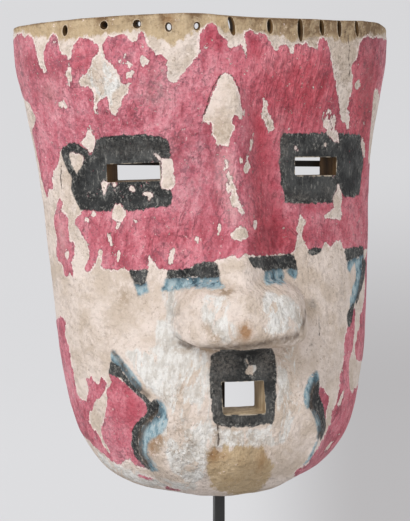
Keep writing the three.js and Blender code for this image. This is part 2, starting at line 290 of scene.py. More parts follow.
@dataclass(frozen=True)
class Relief:
    """The carved nose, muzzle and chin that stand off the plain section, in millimetres."""

    bridge_half: Track = Track(BRIDGE_HEIGHTS, (26, 28, 29.5, 29.5, 27.5, 20, 12, 6))
    bridge_rise: Track = Track(BRIDGE_HEIGHTS, (0, 14, 24, 24.5, 21, 13.7, 6.5, 0))
    bridge_crest: float = 1.7
    bridge_foot: float = 1.4
    tip_x: float = 2.8
    tip_z: float = 110.3
    tip_half_width: float = 40
    tip_half_height: float = 19.1
    tip_spread: float = 0.05
    tip_rise: float = 29
    tip_across: float = 4
    tip_above: float = 2.6
    tip_below: float = 5
    tip_wall: float = 0.62
    blend: float = 5
    hang_drop: float = 5
    hang_from: float = 118
    hang_to: float = 92
    hang_full_at: float = 20
    muzzle_half: Track = Track(
        (0, 6, 12, 20, 30, 38, 46, 54, 62, 72, 82, 95),
        (22, 33, 42, 49, 54, 54, 49, 44, 49, 57, 66, 78),
    )
    muzzle_rise: float = 9
    muzzle_from: float = 96
    muzzle_full: float = 22
    muzzle_edge: float = 5
    crest_inside: float = 7
    crest_reach: float = 5
    crest_share: float = 0.2
    groove_outside: float = 9
    groove_reach: float = 7
    groove_share: float = 0.3
    chin_z: float = 19
    chin_half_width: float = 25
    chin_half_height: float = 21
    chin_rise: float = 4.5

    def nose(self, x: Array, z: Array) -> Array:
        """Height of the nose: the bridge and the blunt tip, blended where they meet.

        Args:
            x: Place across of each point.
            z: Height of each point.

        Returns:
            How far the nose stands out there.
        """
        across = np.minimum(np.abs(x) / self.bridge_half.at(z), 1)
        bridge = self.bridge_rise.at(z) * (1 - across**self.bridge_crest) ** self.bridge_foot
        bridge = np.where((z > self.bridge_rise.heights[0]) & (z < self.bridge_rise.heights[-1]), bridge, 0)
        up = (z - self.tip_z) / self.tip_half_height
        half_width = self.tip_half_width * (1 - self.tip_spread * np.clip(up, -1, 1))
        box = np.abs((x - self.tip_x) / half_width) ** self.tip_across
        box = box + np.abs(up) ** np.where(up > 0, self.tip_above, self.tip_below)
        tip = self.tip_rise * np.maximum(1 - box, 0) ** self.tip_wall
        return (bridge**self.blend + tip**self.blend) ** (1 / self.blend)

    def muzzle(self, x: Array, z: Array) -> Array:
        """Height of the muzzle, with a crest inside its edge and a groove in the cheek beside it.

        Args:
            x: Place across of each point.
            z: Height of each point.

        Returns:
            How far the muzzle stands out there.
        """
        past = np.abs(x) - self.muzzle_half.at(z)
        rise = self.muzzle_rise * ease(z, self.muzzle_from, self.muzzle_full)
        step = ease(past, self.muzzle_edge, -self.muzzle_edge)
        crest = self.crest_share * bell(past + self.crest_inside, self.crest_reach)
        groove = self.groove_share * bell(past - self.groove_outside, self.groove_reach)
        return rise * (step + crest - groove)

    def chin(self, x: Array, z: Array) -> Array:
        """Height of the round boss on the chin."""
        away = np.hypot(x / self.chin_half_width, (z - self.chin_z) / self.chin_half_height)
        return self.chin_rise * ease(away, 1, 0)

    def carve(self, points: Array) -> Array:
        """Points of the plain section moved out to the carved face.

        Args:
            points: Points of the plain section.

        Returns:
            The carved points.
        """
        x, z = points[..., 0], points[..., 2]
        nose = self.nose(x, z)
        hang = ease(nose, 0, self.hang_full_at) * ease(z, self.hang_from, self.hang_to)
        rise = nose + self.muzzle(x, z) + self.chin(x, z)
        return points + np.stack([0 * x, -rise, -self.hang_drop * hang], axis=-1)


@dataclass(frozen=True)
class Placement:
    """Where the mask hangs in the part's frame: rolled about its middle, a little left of the rod."""

    roll: float = math.radians(1.3)
    aside: float = -4.2
    centre: float = MASK_HEIGHT / 2
    rod_y: float = 23.0
    lift: float = 78.0

    def matrix(self) -> Matrix:
        """Matrix from the mask's millimetres to the part's metres.

        Returns:
            The matrix.
        """
        up = Matrix.Translation((self.aside, self.rod_y, self.lift + self.centre))
        turned = up @ Matrix.Rotation(-self.roll, 4, "Y") @ Matrix.Translation((0, 0, -self.centre))
        return Matrix.Scale(MM, 4) @ turned

    def apply(self, points: Array) -> Array:
        """Points of the mask in the part's frame, in metres."""
        m = np.array(self.matrix())
        return points @ m[:3, :3].T + m[:3, 3]


@dataclass(frozen=True)
class Lens:
    """The camera of the photograph, level and a little to the left of the mask, in metres."""

    turn: float = VIEW_TURN
    aim: Triple = (-0.0042, -0.066, 0.2175)
    distance: float = 1.55
    shift_left: float = 0.0186
    focal: float = 2658.7
    width: int = 410
    height: int = 521
    sensor: float = 36.0

    def axes(self) -> tuple[Array, Array, Array]:
        """Unit vectors to the right, forwards and up."""
        s, c = math.sin(self.turn), math.cos(self.turn)
        return np.array([c, -s, 0]), np.array([s, c, 0]), np.array([0, 0, 1.0])

    def place(self) -> Array:
        """Where the camera stands."""
        right, forward, _ = self.axes()
        return np.array(self.aim) - self.distance * forward - self.shift_left * right

    def see(self, points: Array) -> tuple[Array, Array, Array]:
        """Picture column, picture row and distance of each point.

        Args:
            points: Points in metres.

        Returns:
            Column, row and distance in metres.
        """
        right, forward, up = self.axes()
        away = points - self.place()
        depth = away @ forward
        across = self.width / 2 + self.focal * (away @ right) / depth
        down = self.height / 2 - self.focal * (away @ up) / depth
        return across, down, depth

    def build(self) -> Object:
        """Makes the camera object.

        Returns:
            The camera.
        """
        data = bpy.data.cameras.new("camera")
        data.sensor_width = self.sensor
        data.lens = self.sensor * self.focal / self.height
        data.clip_end = 100
        camera = bpy.data.objects.new("camera", data)
        right, forward, up = self.axes()
        turned = Matrix((right, up, -forward)).transposed().to_4x4()
        camera.matrix_world = Matrix.Translation(self.place()) @ turned
        bpy.context.scene.collection.objects.link(camera)
        bpy.context.scene.camera = camera
        return camera


def outline(corners: str) -> Outline:
    """Outline from its corners, each written as column,row in the picture."""
    return [(float(column), float(row)) for column, row in (corner.split(",") for corner in corners.split())]


def outlines(text: str) -> list[Outline]:
    """Several outlines, each ended by a semicolon."""
    return [outline(corners) for corners in text.split(";") if corners.strip()]


# Paint, and painted shade and light in places, as outlines in the picture of the camera: columns to the
# right and rows down, in picture points.
UPPER_PINK = outline("""
    14,38 18,35 22,33 25,40 28,34 33,40 35,47 36,55 38,63 41,68 45,75 46,70 45,64 44,57 44,49 46,44 50,44
    50,38 52,35 56,35 57,42 59,50 63,54 67,59 67,68 66,76 68,88 70,88 71,80 71,73 70,64 71,51 75,44 80,39
    86,38 92,41 97,44 99,51 97,55 92,59 90,66 86,74 79,80 79,86 87,87 92,88 95,94 94,106 96,116 97,105 101,99
    105,97 109,102 111,112 114,118 118,111 121,105 123,98 129,90 128,84 121,84 119,76 115,68 109,61 104,54
    103,46 105,39 109,36 113,38 118,35 127,34 130,40 136,42 138,34 142,31 145,37 147,45 152,51 157,56 163,56
    166,59 167,68 168,78 173,83 178,80 184,72 191,66 197,57 199,48 200,38 203,30 207,25 212,23 217,27 219,34
    225,38 228,47 235,46 241,45 244,50 246,58 247,50 245,42 245,31 251,30 257,35 263,33 268,36 271,43 274,50
    278,50 281,44 287,45 290,52 294,56 295,45 299,42 303,47 306,42 310,48 318,49 319,40 323,37 327,41 330,50
    332,66 335,84 339,102 341,119 346,126 349,134 350,122 348,110 351,96 352,80 352,65 357,60 358,48 361,41
    368,36 374,39 394,37 398,100 394,200 392,250 363,250 348,249 343,249 341,243 337,240 333,243 330,247
    326,243 322,248 309,251 305,244 300,247 296,252 270,256 249,256 246,254 243,256 238,258 233,254 226,257
    219,260 215,262 204,264 195,267 186,271 170,271.5 160,268 155,266 152,260 149,257 148,264 146,271 128,271
    124,265 121,269 104,269 101,266 101,258 99,253 95,263 92,270 86,272 83,270 87,263 89,256 89,247 86,240
    81,232 76,226 75,221 79,217 82,213 85,204 86,165 66,150 59,150 59,160 57,166 54,169 53,175 52,180 54,185
    52,189 49,190 48,198 45,191 42,180 40,168 37,154 34,142 32,132 35,124 36,118 33,111 30,105 26,101 21,96
    12,92 6,60 6,40
""")
CHEEK_FINGER = outline("""
    57,204 60,198 63,203 63,211 67,217 69,224 69,240 74,244 74,252 72,258 73,266 75,275 72,279 70,272 68,276
    64,276 62,262 58,263 56,256 57,240 55,230 54,218 56,210
""")
JAW_LEFT_PINK = outline("""
    52,320 60,318 62,316 66,322 64,331 66,339 69,348 70,360 73,372 75,385 79,398 83,401 87,399 88,388 86,378
    91,376 94,381 98,385 100,379 104,378 107,384 104,391 101,397 97,400 94,403 93,410 89,411 88,417 91,427
    95,431 99,438 103,446 108,453 111,456 109,450 105,443 102,436 101,429 104,420 106,411 107,400 106,391
    112,384 110,377 109,372 120,378 130,388 140,397 150,405 152,412 142,419 136,427 133,437 134,447 137,455
    142,461 149,469 140,467 133,463 129,458 124,460 122,464 116,463 111,460 104,455 96,448 88,440 82,434
    77,430 66,424 56,400 50,364 48,340
""")
JAW_RIGHT_STRIPE = outline("""
    347,326 352,311 356,305 355,330 352,350 349,365 349,385 351,394 355,388 372,380 372,410 362,425 352,440
    342,456 322,472 300,478 293,476 296,471 308,463 315,453 321,443 326,433 330,424 333,410 334,405 337,400
    339,390 341,375 344,355 345,340
""")
JAW_RIGHT_EDGE = outline("""
    358,335 360,320 362,310 365,296 365,250 378,250 376,320 372,362 357,361 355,352 356,342
""")
JAW_RIGHT_TIP = outline("""
    319,384 325,391 329,396 329,402 327,407 326,420 324,428 322,415 321,404 318,396
""")
CHIN_STREAKS = outlines("""
    139,475.5 147,477 154,480.4 146,479.4 139,477.6;
    165,487 172,488 181,490.6 174,490.6 166,489.4;
""")
PINK_AREAS = (
    UPPER_PINK, CHEEK_FINGER, JAW_LEFT_PINK, JAW_RIGHT_STRIPE, JAW_RIGHT_EDGE, JAW_RIGHT_TIP, *CHIN_STREAKS,
)

NOSE_LOSS = outline("""
    224,73 229,74.5 233,79 237,86 237.5,92 240,100 242,107 244.5,114 243,121 239,117 235,116 233.5,119
    235.5,126 235,130 231,133 229,140 225.5,148 219,145.5 215,144 213.5,136 211.5,127 209,121 205,121 201,127
    203,117 206,112 208.5,106 210.5,99 213.5,90 217,84 220,77
""")
LOSSES = (NOSE_LOSS, *outlines("""
    58,101 63,99 65,103 68,108 62,110 59,105;
    90,124 92,131 95,138 96,144 93,151 91,158 90,151 87,147 81,143 84,139 86,132 88,128;
    121,62.4 125,63.2 127,60.4 129.6,62.2 135.2,64 131.6,65.8 129.6,68.4 126.4,65.4;
    117.6,64 120.4,59 120,62.8;
    124,56.8 126,54 125.6,57.4;
    127.4,73.4 133.6,71.4 131.6,75 133,79 128.4,77.6 124.4,80.4 126.4,76;
    126,83 129.4,81.4 133,82.4 130.6,85 127.4,86.4;
    141.2,58 143.6,55.8 145,58.4 148.6,60.4 147.2,63.4 144.6,64.6 142.8,67.8 141,65;
    48,42 52,41 57,42.4 54,44 51.6,43.4 47.6,45;
    262,93 265,99 267,105 267,110 270,115 273,123 277,127 275,131 270,134 267,129 264,121 262,114 264,107
    263,101;
    244,170 245,163 248.6,161 250.2,166 249,169.6 246,172;
    246.6,160 249.6,148 253,133 254,133 252,144 250.4,152 247.6,160.4;
    240,155 242.6,159 243.4,163 240.6,164 239.8,160;
    230,177 232,175 233,182 235.6,189 238,196 240,203 243.4,209 244,214 241,214 237,208 232,203 230,196
    231.4,189 229,183;
    233,231 237,228 240,226 243,228 246,226 248,232 247,237 241,240 234,241 231,236;
    119,203 116,205 113,211 110,214 112,219 116,222 120,221 123,217 127,216 125,211 122,207;
    118,221 119,226 114,231 111,235 112,242 114,247 111,248 109,241 107,236 110,232 115,228;
    98,258 97,252 101,249 103,252 100,258;
    116,262 117,256 119,250 120,256 118,262;
    168,268 169,258 170,252 174,247 176,250 173,256 172,263;
    299,213 303,218 306,224 303,229 302,237 305,244 306,252 294,256 296,246 298,240 299,233 296,229 298,224
    298,218;
    374.5,88 379,92 382,110 380,140 376,160 368.6,166 369,150 369.6,138 370.8,124 372.4,110 373.6,98;
    362,137 365,143 366,150 365,159 362,152 361,142;
    356,82 359,80 360,86 357,91 355,86;
    325,130 338,130 339,144 334,142 329,138;
    338,183 340,189 342,194 341,205 342,215 340,222 336,219 331,218 323,218 325,215 331,213 334,208 333,196
    336,190;
    154,153.5 157,155 159.5,157 163,158 168,159 171.5,161 173,166 173,187 171,190.5 166,189 161,188.5
    158.5,186.5 159,184 161,180 161,163 158.5,158.5;
    68,154 72,152 80,154 84,157 83,162 80,168 77,174 74,171 71,163;
    100.6,183 104,180.6 110.8,181.6 110,184 107.6,186 106.4,190 105,192.5 103.8,195 103.4,191 101.4,188;
    111.6,182.6 114,181 118.6,182.4 117.6,186 114.6,187.4 112.6,185.4;
    128,188.6 130,186.4 131.6,184 133.6,186.4 135.4,190 133.6,192.6 130.6,190.8;
    142.6,191.4 146,192.4 150,191.8 153.2,193.4 152.8,197 150.4,197.6 149.8,200.8 148,199 148.4,196.4
    145,194.6 143,195.6;
    120.4,194.2 122.6,195.4 124.2,198.6 122.4,197.8;
    141.6,182.8 143.8,183.4 143.2,185.8;
    113.2,190 115.6,190.8 114.6,191.6;
    86.4,193.2 89,195.2 92.6,194 91,196.4 88.6,196.8;
    150.6,162.2 153,161 153.6,163.6;
    293.4,144.6 295,145 297.6,148.4 298,150.4 295,150.4 294.4,147.6;
    315.4,143.4 317,142.8 316.6,146 315.6,145.6;
    325,142.4 326.4,144 325.6,147 324.6,145;
    332.4,176.4 336,172.6 337.4,170 336.8,173.6 333.6,177.8;
    246,358.4 247.6,361 249.4,365.8 255.4,365.4 255.2,370 252.6,375.6 250,374.4 246.8,373.4 247,369.6
    248.4,366.2 246.8,362.6;
    65,251 69,252 68,259 65,258;
    94,212 97,214 95,217 91,215;
    85,218 89,219 87,222;
    134,220 136,222 135,226;
    195,240 198,237 198,244;
    217.4,222.6 219.6,225 221.8,222.2 221,227 220,230 221,236 219,234 218,229;
    254,220 257,221 256,229 254,227;
    334,440 331,446 326,451 324,452 329,444;
    345,387 343,396 339,406 337,404 341,394;
"""))
WORN_PATCHES = outlines("""
    320,118 323,111 330,108 337,113 338,124 336,131 326,132 321,126;
    222,150 230,165 234,184 238,194 230,202 226,190 222,175;
""")

LEFT_EYE_BLACK = outline("""
    97,137 115,136 135,134.5 160,136 167,138 170,145 171,155 172,160 171,190 171,205 165,206 158,207 150,209
    135,211 124,211 122,205 119,203 116,204 113,210 108,212 81,211 77,203 72,193 71,187 72,178 68,170 64,163
    61,156 61,149 66,146 72,142 77,143 82,147 87,148 89,150 90,156 92,157 93,150 95,144
""")
RIGHT_EYE_BLACK = outline("""
    279.7,134 300,133 326,132 338,133 352,134 361,135 361,142 362,152 364,159 363,168 361,182 359.5,195
    352,197 344,198 342,193 339,186 338,184 336,190 333,196 333,203 315,204 298,203 285,203.5 283,195 281,180
    280,160
""")
MOUTH_BLACK = outline("""
    209.6,366 210.4,358 212,355 215,353 220,350.5 228,348 240,344 257,341 264,343 270,347.5 273.4,351
    275.2,356 276.4,366 277,385 275.5,403 273.4,421.5 271.5,423.8 262,425.3 245,427.6 230,427 220,425.8
    214.5,423.2 213,420 212,410 210.4,390 209.5,378
""")
BLACK_AREAS = (LEFT_EYE_BLACK, RIGHT_EYE_BLACK, *outlines("""
    129,270 148,270 146,276 146,283 140,285 134,284 131,276;
    167.5,269.5 186,269.3 190,267.5 196,263.8 205,261.7 215.5,261.7 217,262.6 217.6,266.3 219.4,271.3
    219.6,277 204,277.6 190,277.6 167,278.2 166.3,274;
    247.3,257.3 252,256.6 275,255.3 293.4,254 294.5,256 295.8,260 297.6,266.5 297.5,269.5 290,268.2 280,268.2
    271.3,269.8 265,271 255,266.9 251.3,262.5;
    307,250 314,248 322,248 320,252 314,255 309,256;
    344,249 352,247 363,246 364,254 357,257 350,260 347,262 345,256;
    347,312 352,305 355,302 353,314 351,325 348,328 347,320;
    362,256 366,262 365,275 361,290 357,304 355,302 358,290 361,274;
    109.5,361 112,361 116,365 120,366.5 125,374 131,383 137,389 144,394 150,402 155,399 159,404 159,411
    156,416 150,420 144,424 140,431 139,440 138.5,450 143,460 151,470 146,469 140,462 135,456 132,448 131,437
    134,427 140,419 148,413 146,405 140,397 130,388 120,378 109,374 108.5,368;
    319,379 320,386 319,392 320,399 323,406 325,414 326,424 325,431 322,438 320,442 319,435 321,428 320,420
    317,412 313,408 310,411 309,405 310,398 311,391 315,385;
"""))
BLUE_AREAS = outlines("""
    110.5,361 111,354 113,350 118,355 122,360 127,365 132,372 137,379 142,384 143,392 137,391 131,384 125,375
    116,367;
    155,399 160,400 165,407 168,414 168,421 165,428 161,433 155,437 150,440 147,446 148,453 151,460 155,466
    158,472 151,472 146,466 141,458 137.5,450 138,440 139,431 143,424 150,419 156,414 158,408;
    316,369 319,376 320,381 316,386 312,392 311,399 311,406 308,409 305,406 303,400 304,392 306,385 308,380
    313,374;
    310,409 315,407 319,412 322,419 323,427 321,434 319,441 315,449 312,457 308,462 303,467 306,461 310,455
    314,448 317,441 318,434 316,425 314,417;
    133,282 140,283 147,281 147,288 149,292 142,294 137,297 136,290;
    166.3,277 190,276 217.5,275 220,277.5 222.5,283 224.4,287.5 215,288.5 207.5,288.1 196,288.1 192.5,286.9
    180,289.2 177.5,290 162.5,291 160.5,290 164,284;
    265.6,268 280,265 285.6,277 285.4,283 280,284 272.5,283.8 265,284;
    286.3,270 292,266 297.5,265 298.2,278 293.8,279.4 287.8,274.2;
    347,260 357,255 364,252 363,272 360,291 357,300 352,308 349,311 350,300 352,290 355,281 356,272 355,262
    352,266 350,274 347,268;
""")
# Painted light: the underside of the chin is painted white, standing in for light from below.
WHITE_AND_UNDERSIDE_LIGHT_AREAS = outlines("""
    243,356 258,356 258,378 243,378;
    157,322 165,318 175,330 185,345 210,352 210,425 225,430 262,430 277,420 279,350 300,345 302,375 296,430
    285,445 240,447 208,450 206,480 190,485 170,470 160,432 168,415 165,400 150,392 140,378 132,365 125,352
    140,347 155,349;
    205,294.5 225,295.5 228.8,300 230,310 226.5,315 229,321.3 235.5,320.5 236,337 230,344.5 222,343 219,336
    213,333 209,326 203,320 200.5,310 202,300;
    263.8,292 271.3,289.5 281,296 285,294.5 292.5,299.5 299,305 301.5,315 302.8,325 296.3,333 285,334.5
    275,335.5 266,334 262,325 261,315 262.5,303;
    162.5,291.5 175,290 174,302 173,318 174,330 178,341 168,339 166,320 165,306;
    88,66 98,48 112,68 122,84 112,92 114,110 98,96 88,84;
    96,450 120,466 150,477 190,484 202,482 190,491 150,487 118,474 100,460;
""")
# Deep red over the pink. Beside the nose's right side and in the cheek hollow by the left muzzle edge it is
# painted shade.
DEEP_RED_AND_SHADE_AREAS = outlines("""
    250,108 260,112 270,135 277,160 281,185 283,212 279,230 270,222 266,195 261,165 255,135;
    122,384 131,390 140,398 148,406 150,411 140,418 134,426 130,430 127,415 128,402;
    204,28 210,24 217,28 219,36 226,42 220,50 204,48 202,38;
    246,34 256,34 258,46 262,52 258,60 247,52;
    302,205 332,206 330,212 310,213;
""")
BAND_EDGE = outline("""
    2,34 14,33 24,32 34,37 50,38 60,40 72,40 85,37 100,36 110,34 125,33 140,30 150,38 165,42 172,46 178,42
    190,34 200,30 212,24 225,32 240,32 260,31 270,36 285,38 292,42 300,39 320,36 335,38 350,42 358,38 370,35
    385,35 402,34 402,-6 -6,-6 -6,34
""")
CHIN_WOOD = outline("""
    206,462 207,452 212,447 219,450 224,444 230,449 237,445 244,449 250,444 257,449 264,448 268,455 273,461
    272,470 268,478 262,487 252,494 240,498 226,497 216,491 210,484 206,474
""")
WOOD_AREAS = (BAND_EDGE, CHIN_WOOD)


class Spot(NamedTuple):
    """A soft mark: its place in the picture, its half width and half height there, and its strength."""

    column: float
    row: float
    half_width: float
    half_height: float
    strength: float


def spots(text: str) -> list[Spot]:
    """Soft marks, each written as column,row,half width,half height,strength."""
    return [Spot(*map(float, mark.split(","))) for mark in text.split()]


# Soft marks that the layers carry, some of them painted shade. A negative strength bleaches.
# Stains, and painted shade: under the nose, to the right of the nose, and at the right end of the bare band.
STAINS_AND_SHADES = spots("""
    205,327,5,5,0.7 215,336,6,5,0.8 193,313,5,3,0.5 222,292,8,4,0.7 120,300,9,14,0.5 126,292,8,18,0.45
    108,340,4,22,0.4 92,345,14,26,0.3 166,395,9,7,0.55 183,432,10,8,0.45 188,455,7,9,0.4 216,433,5,12,0.8
    213,455,7,8,0.8 232,432,9,7,0.45 150,450,6,12,0.8 183,470,14,8,0.3 192,446,7,12,0.45 282,352,9,10,0.7
    285,400,9,30,0.4 300,322,7,22,0.5 312,306,6,6,0.7 330,340,22,40,0.35 250,342,40,5,0.6 228,352,22,4,0.8
    232,195,6,20,0.6 200,395,9,14,0.35 65,28,9,9,0.7 104,22,8,8,0.8 137,20,8,9,0.7 168,22,7,9,0.9
    196,20,8,9,0.9 265,22,40,16,0.35 255,24,20,12,0.4 275,236,26,18,1.3 122,402,12,20,0.4 324,231,24,14,0.75
    367,72,14,24,0.8 363,115,12,26,0.5 256,195,8,30,0.6 248,150,9,30,0.6 206,138,7,16,0.6 192,175,16,40,0.5
    114,438,14,18,0.5 100,229,16,10,0.5 312,24,40,18,1.2 370,26,40,20,1.5 130,15,5,5,1.0 163,14,4,7,1.0
    193,12,5,5,1.0 100,17,5,5,0.9 125,22,40,12,0.2 157,444,6,9,1.6 156,437,6,4,0.7 252,462,16,18,0.35
    190,52,9,12,0.5 250,438,24,9,0.55 224,112,9,26,0.3 222,132,8,12,0.4 330,119,11,13,0.8 228,291,6,5,0.8
    245,350,60,4,0.8 200,350,30,3.5,0.7 290,340,20,4,0.5 300,300,6,30,0.3 238,135,8,20,0.35 180,400,8,40,0.3
    70,320,20,30,0.3 48,270,10,30,0.25
""")
OCHRES = spots("""
    246,331.5,5,6,1.1 152,447,4,9,0.7 160,438,6,4,0.5 243,333,11,7,0.45 240,352,18,3,0.5 214,456,5,9,0.7
    225,456,6,5,0.4 262,462,6,16,0.5 275,348,8,5,0.3 66,30,7,7,0.3 168,20,6,8,0.6
""")
SCUFFS = spots("""
    247,272,1.6,2,1.0 284,271,1.6,2,1.4 313,305,6,6,0.8 172,310,5,26,0.4 180,462,12,16,0.25 190,474,10,8,0.4
    205,476,5,8,0.5 188,448,6,8,0.7 342,292,7,22,0.35 42.9,166,1.6,2,1.6 320,325,0.9,8,0.9 312,345,1.8,2,1.0
    325,341,1.4,2,0.8 56,284,1,3,1.2 218,430,1.6,6,1.4 226,362,12,14,1.1 265,362,9,14,1.1 216,392,8,34,0.5
    242,418,34,8,0.35 134,148,44,9,0.4 158,88,14,20,0.5 366,90,16,60,0.25 190,176,24,40,0.2 284,145,6,20,0.7
    330,190,12,10,0.5 296,198,24,6,0.7
""")


RIDGES = spots("""
    290,70,60,40,1.0 318,95,40,50,0.8 275,120,30,30,0.5 375,100,20,60,0.6 60,90,60,60,0.5 110,110,40,30,0.5
    105,235,50,30,0.5 230,180,16,40,0.6 186,452,22,26,0.9 176,396,14,22,0.6 160,100,50,40,0.35
    160,240,60,24,0.35 330,222,30,16,0.6 210,325,14,14,0.5
""")
# Dark cracks. The first two lines are painted shadow along the thick paint's edge round the top of the nose
# loss.
CRACKS_AND_EDGE_SHADES = outlines("""
    204,114.5 207,106 209.4,97 212.6,88.6 216.4,81.6 221,74.4;
    228,72.6 233.6,77.4 237.6,84.6 239.6,92;
    348.5,34 349.5,46 349,58 350,70 349.5,78;
    346,30 345.5,37;
    61,165 60.5,178 61.5,192;
    320,320 320.5,328 320,335;
    104,180 104.5,188;
    218,424 217.5,431 219,438 218,446;
""")
# Painted shade: dark lines in the corner under the nose and in the grooves along the muzzle's edges.
CORNER_SHADE_LINES = outlines("""
    180,343 188,347 205,348.6 225,348.4 245,346.8 262,343.6 280,339.6 298,335;
    306,312 305,320 302.5,329;
    113,352 122,364 130,376 139,388 148,396;
    157,413 149,421 142,430 140,440 141,452 147,463;
    314,384 311,394 311,405 315,414 319,424 319,436;
""")
# Darker pink, mostly on the right; beside and below the nose's right side it is painted shade. A negative
# strength pales the pink.
DEEP_PINKS_AND_SHADES = spots("""
    300,85,62,60,1.0 325,110,40,50,0.3 365,110,30,90,1.1 330,230,50,30,0.55 275,238,30,22,1.3
    258,190,14,60,1.0 355,380,30,90,0.4 80,55,12,24,0.4 165,240,50,22,0.35 100,230,20,16,0.4
    122,406,20,30,0.4
    50,92,16,14,-0.3 62,238,8,22,-0.5 330,112,14,22,-0.3 227,172,9,26,-0.5 234,214,7,18,-0.45
    20,64,18,40,-0.15 316,212,20,8,-0.3
""")


class Shell(NamedTuple):
    """A skin of points, the faces that join them, and the numbers of the faces on its flat rim."""

    points: Array
    faces: list[tuple[int, ...]]
    rim: tuple[int, ...] = ()


def closed_skin(lowest: Array, rows: Array) -> Shell:
    """Closed skin through rows of points that rise from one lowest point.

    Args:
        lowest: The point under all the rows.
        rows: Points by row and column, each row open at the back.

    Returns:
        The points, lowest first, and the faces; the back plane and the top are its rim.
    """
    count, columns = rows.shape[:2]
    points = np.concatenate([lowest[None], rows.reshape(-1, 3)])
    ring = [(a, (a + 1) % columns) for a in range(columns)]
    faces: list[tuple[int, ...]] = [(0, 1 + b, 1 + a) for a, b in ring]
    for r in range(count - 1):
        low, high = 1 + r * columns, 1 + (r + 1) * columns
        faces += [(low + a, low + b, high + b, high + a) for a, b in ring]
    back = [columns * (r + 1) - 1 for r in range(count)]
    top, sides = 1 + (count - 1) * columns, len(faces)
    for left in range((columns - 1) // 2):
        strip = dict.fromkeys((left, left + 1, columns - 2 - left, columns - 1 - left))
        faces.append(tuple(top + k for k in strip))
    return Shell(points, faces, (*back, *range(sides, len(faces))))


def make_object(name: str, shell: Shell, material_index: int = 0) -> Object:
    """Object with a mesh of the given points and faces, in one material slot, with a skin's rim in the rim's
    slot.

    Args:
        name: Name of the object.
        shell: Its points and faces.
        material_index: Slot of its faces.

    Returns:
        The object.
    """
    mesh = bpy.data.meshes.new(name)
    mesh.from_pydata(shell.points.tolist(), [], shell.faces)
    mesh.update()
    kinds = np.full(len(mesh.polygons), material_index, np.int32)
    if material_index == Face.SKIN.value:
        kinds[list(shell.rim)] = Face.RIM.value
    mesh.polygons.foreach_set("material_index", kinds)
    made = bpy.data.objects.new(name, mesh)
    bpy.context.scene.collection.objects.link(made)
    return made


def drop(made: Object) -> None:
    """Removes a helper object and its mesh.

    Args:
        made: The object.
    """
    mesh = made.data
    bpy.data.objects.remove(made)
    bpy.data.meshes.remove(mesh)


def settle(made: Object) -> None:
    """Turns an object's modifiers into its plain mesh.

    Args:
        made: The object.
    """
    depsgraph = bpy.context.evaluated_depsgraph_get()
    mesh = bpy.data.meshes.new_from_object(made.evaluated_get(depsgraph), depsgraph=depsgraph)
    made.modifiers.clear()
    old = made.data
    made.data = mesh
    bpy.data.meshes.remove(old)
    mesh.name = made.name


def subtract(made: Object, cutter: Object) -> None:
    """Cuts the cutter out of an object and removes the cutter.

    Args:
        made: The object that is cut.
        cutter: The shape cut out of it.
    """
    modifier = made.modifiers.new("cut", "BOOLEAN")
    modifier.operation = "DIFFERENCE"
    modifier.solver = "MANIFOLD"
    modifier.material_mode = "INDEX"
    modifier.object = cutter
    settle(made)
    drop(cutter)


def vertices_of(mesh: Mesh) -> Array:
    """Places of a mesh's vertices.

    Args:
        mesh: The mesh.

    Returns:
        One place for each vertex.
    """
    flat = np.zeros(len(mesh.vertices) * 3, np.float32)
    mesh.vertices.foreach_get("co", flat)
    return flat.reshape(-1, 3).astype(float)


def whole_numbers(items: Any, name: str) -> Array:
    """One whole-number property of all the items of a mesh.

    Args:
        items: The mesh's loops or polygons.
        name: The property.

    Returns:
        Its value for each item.
    """
    values = np.zeros(len(items), np.int32)
    items.foreach_get(name, values)
    return values


@dataclass(frozen=True)
class TopEdge:
    """Unevenness of the mask's top edge: higher on the left, with a step down by the middle."""

    start: float = 0.5
    left_rise: float = 1.3
    step_down: float = 3.3
    right_rise: float = 1.0
    corner_drop: float = 2.2
    left_span: Span = (-113, -30)
    step_span: Span = (-22, 12)
    right_span: Span = (67, 92)
    corner_span: Span = (100, 118)
    fades_from: float = 236.0

    def lift(self, x: Array, z: Array) -> Array:
        """How much higher each point lies than on a level edge.

        Args:
            x: Place across of each point.
            z: Height of each point.

        Returns:
            The rise at each point.
        """
        left = self.start + self.left_rise * ease(x, *self.left_span)
        rise = left - self.step_down * ease(x, *self.step_span) + self.right_rise * ease(x, *self.right_span)
        rise = rise - self.corner_drop * ease(x, *self.corner_span)
        return rise * ease(z, self.fades_from, MASK_HEIGHT)


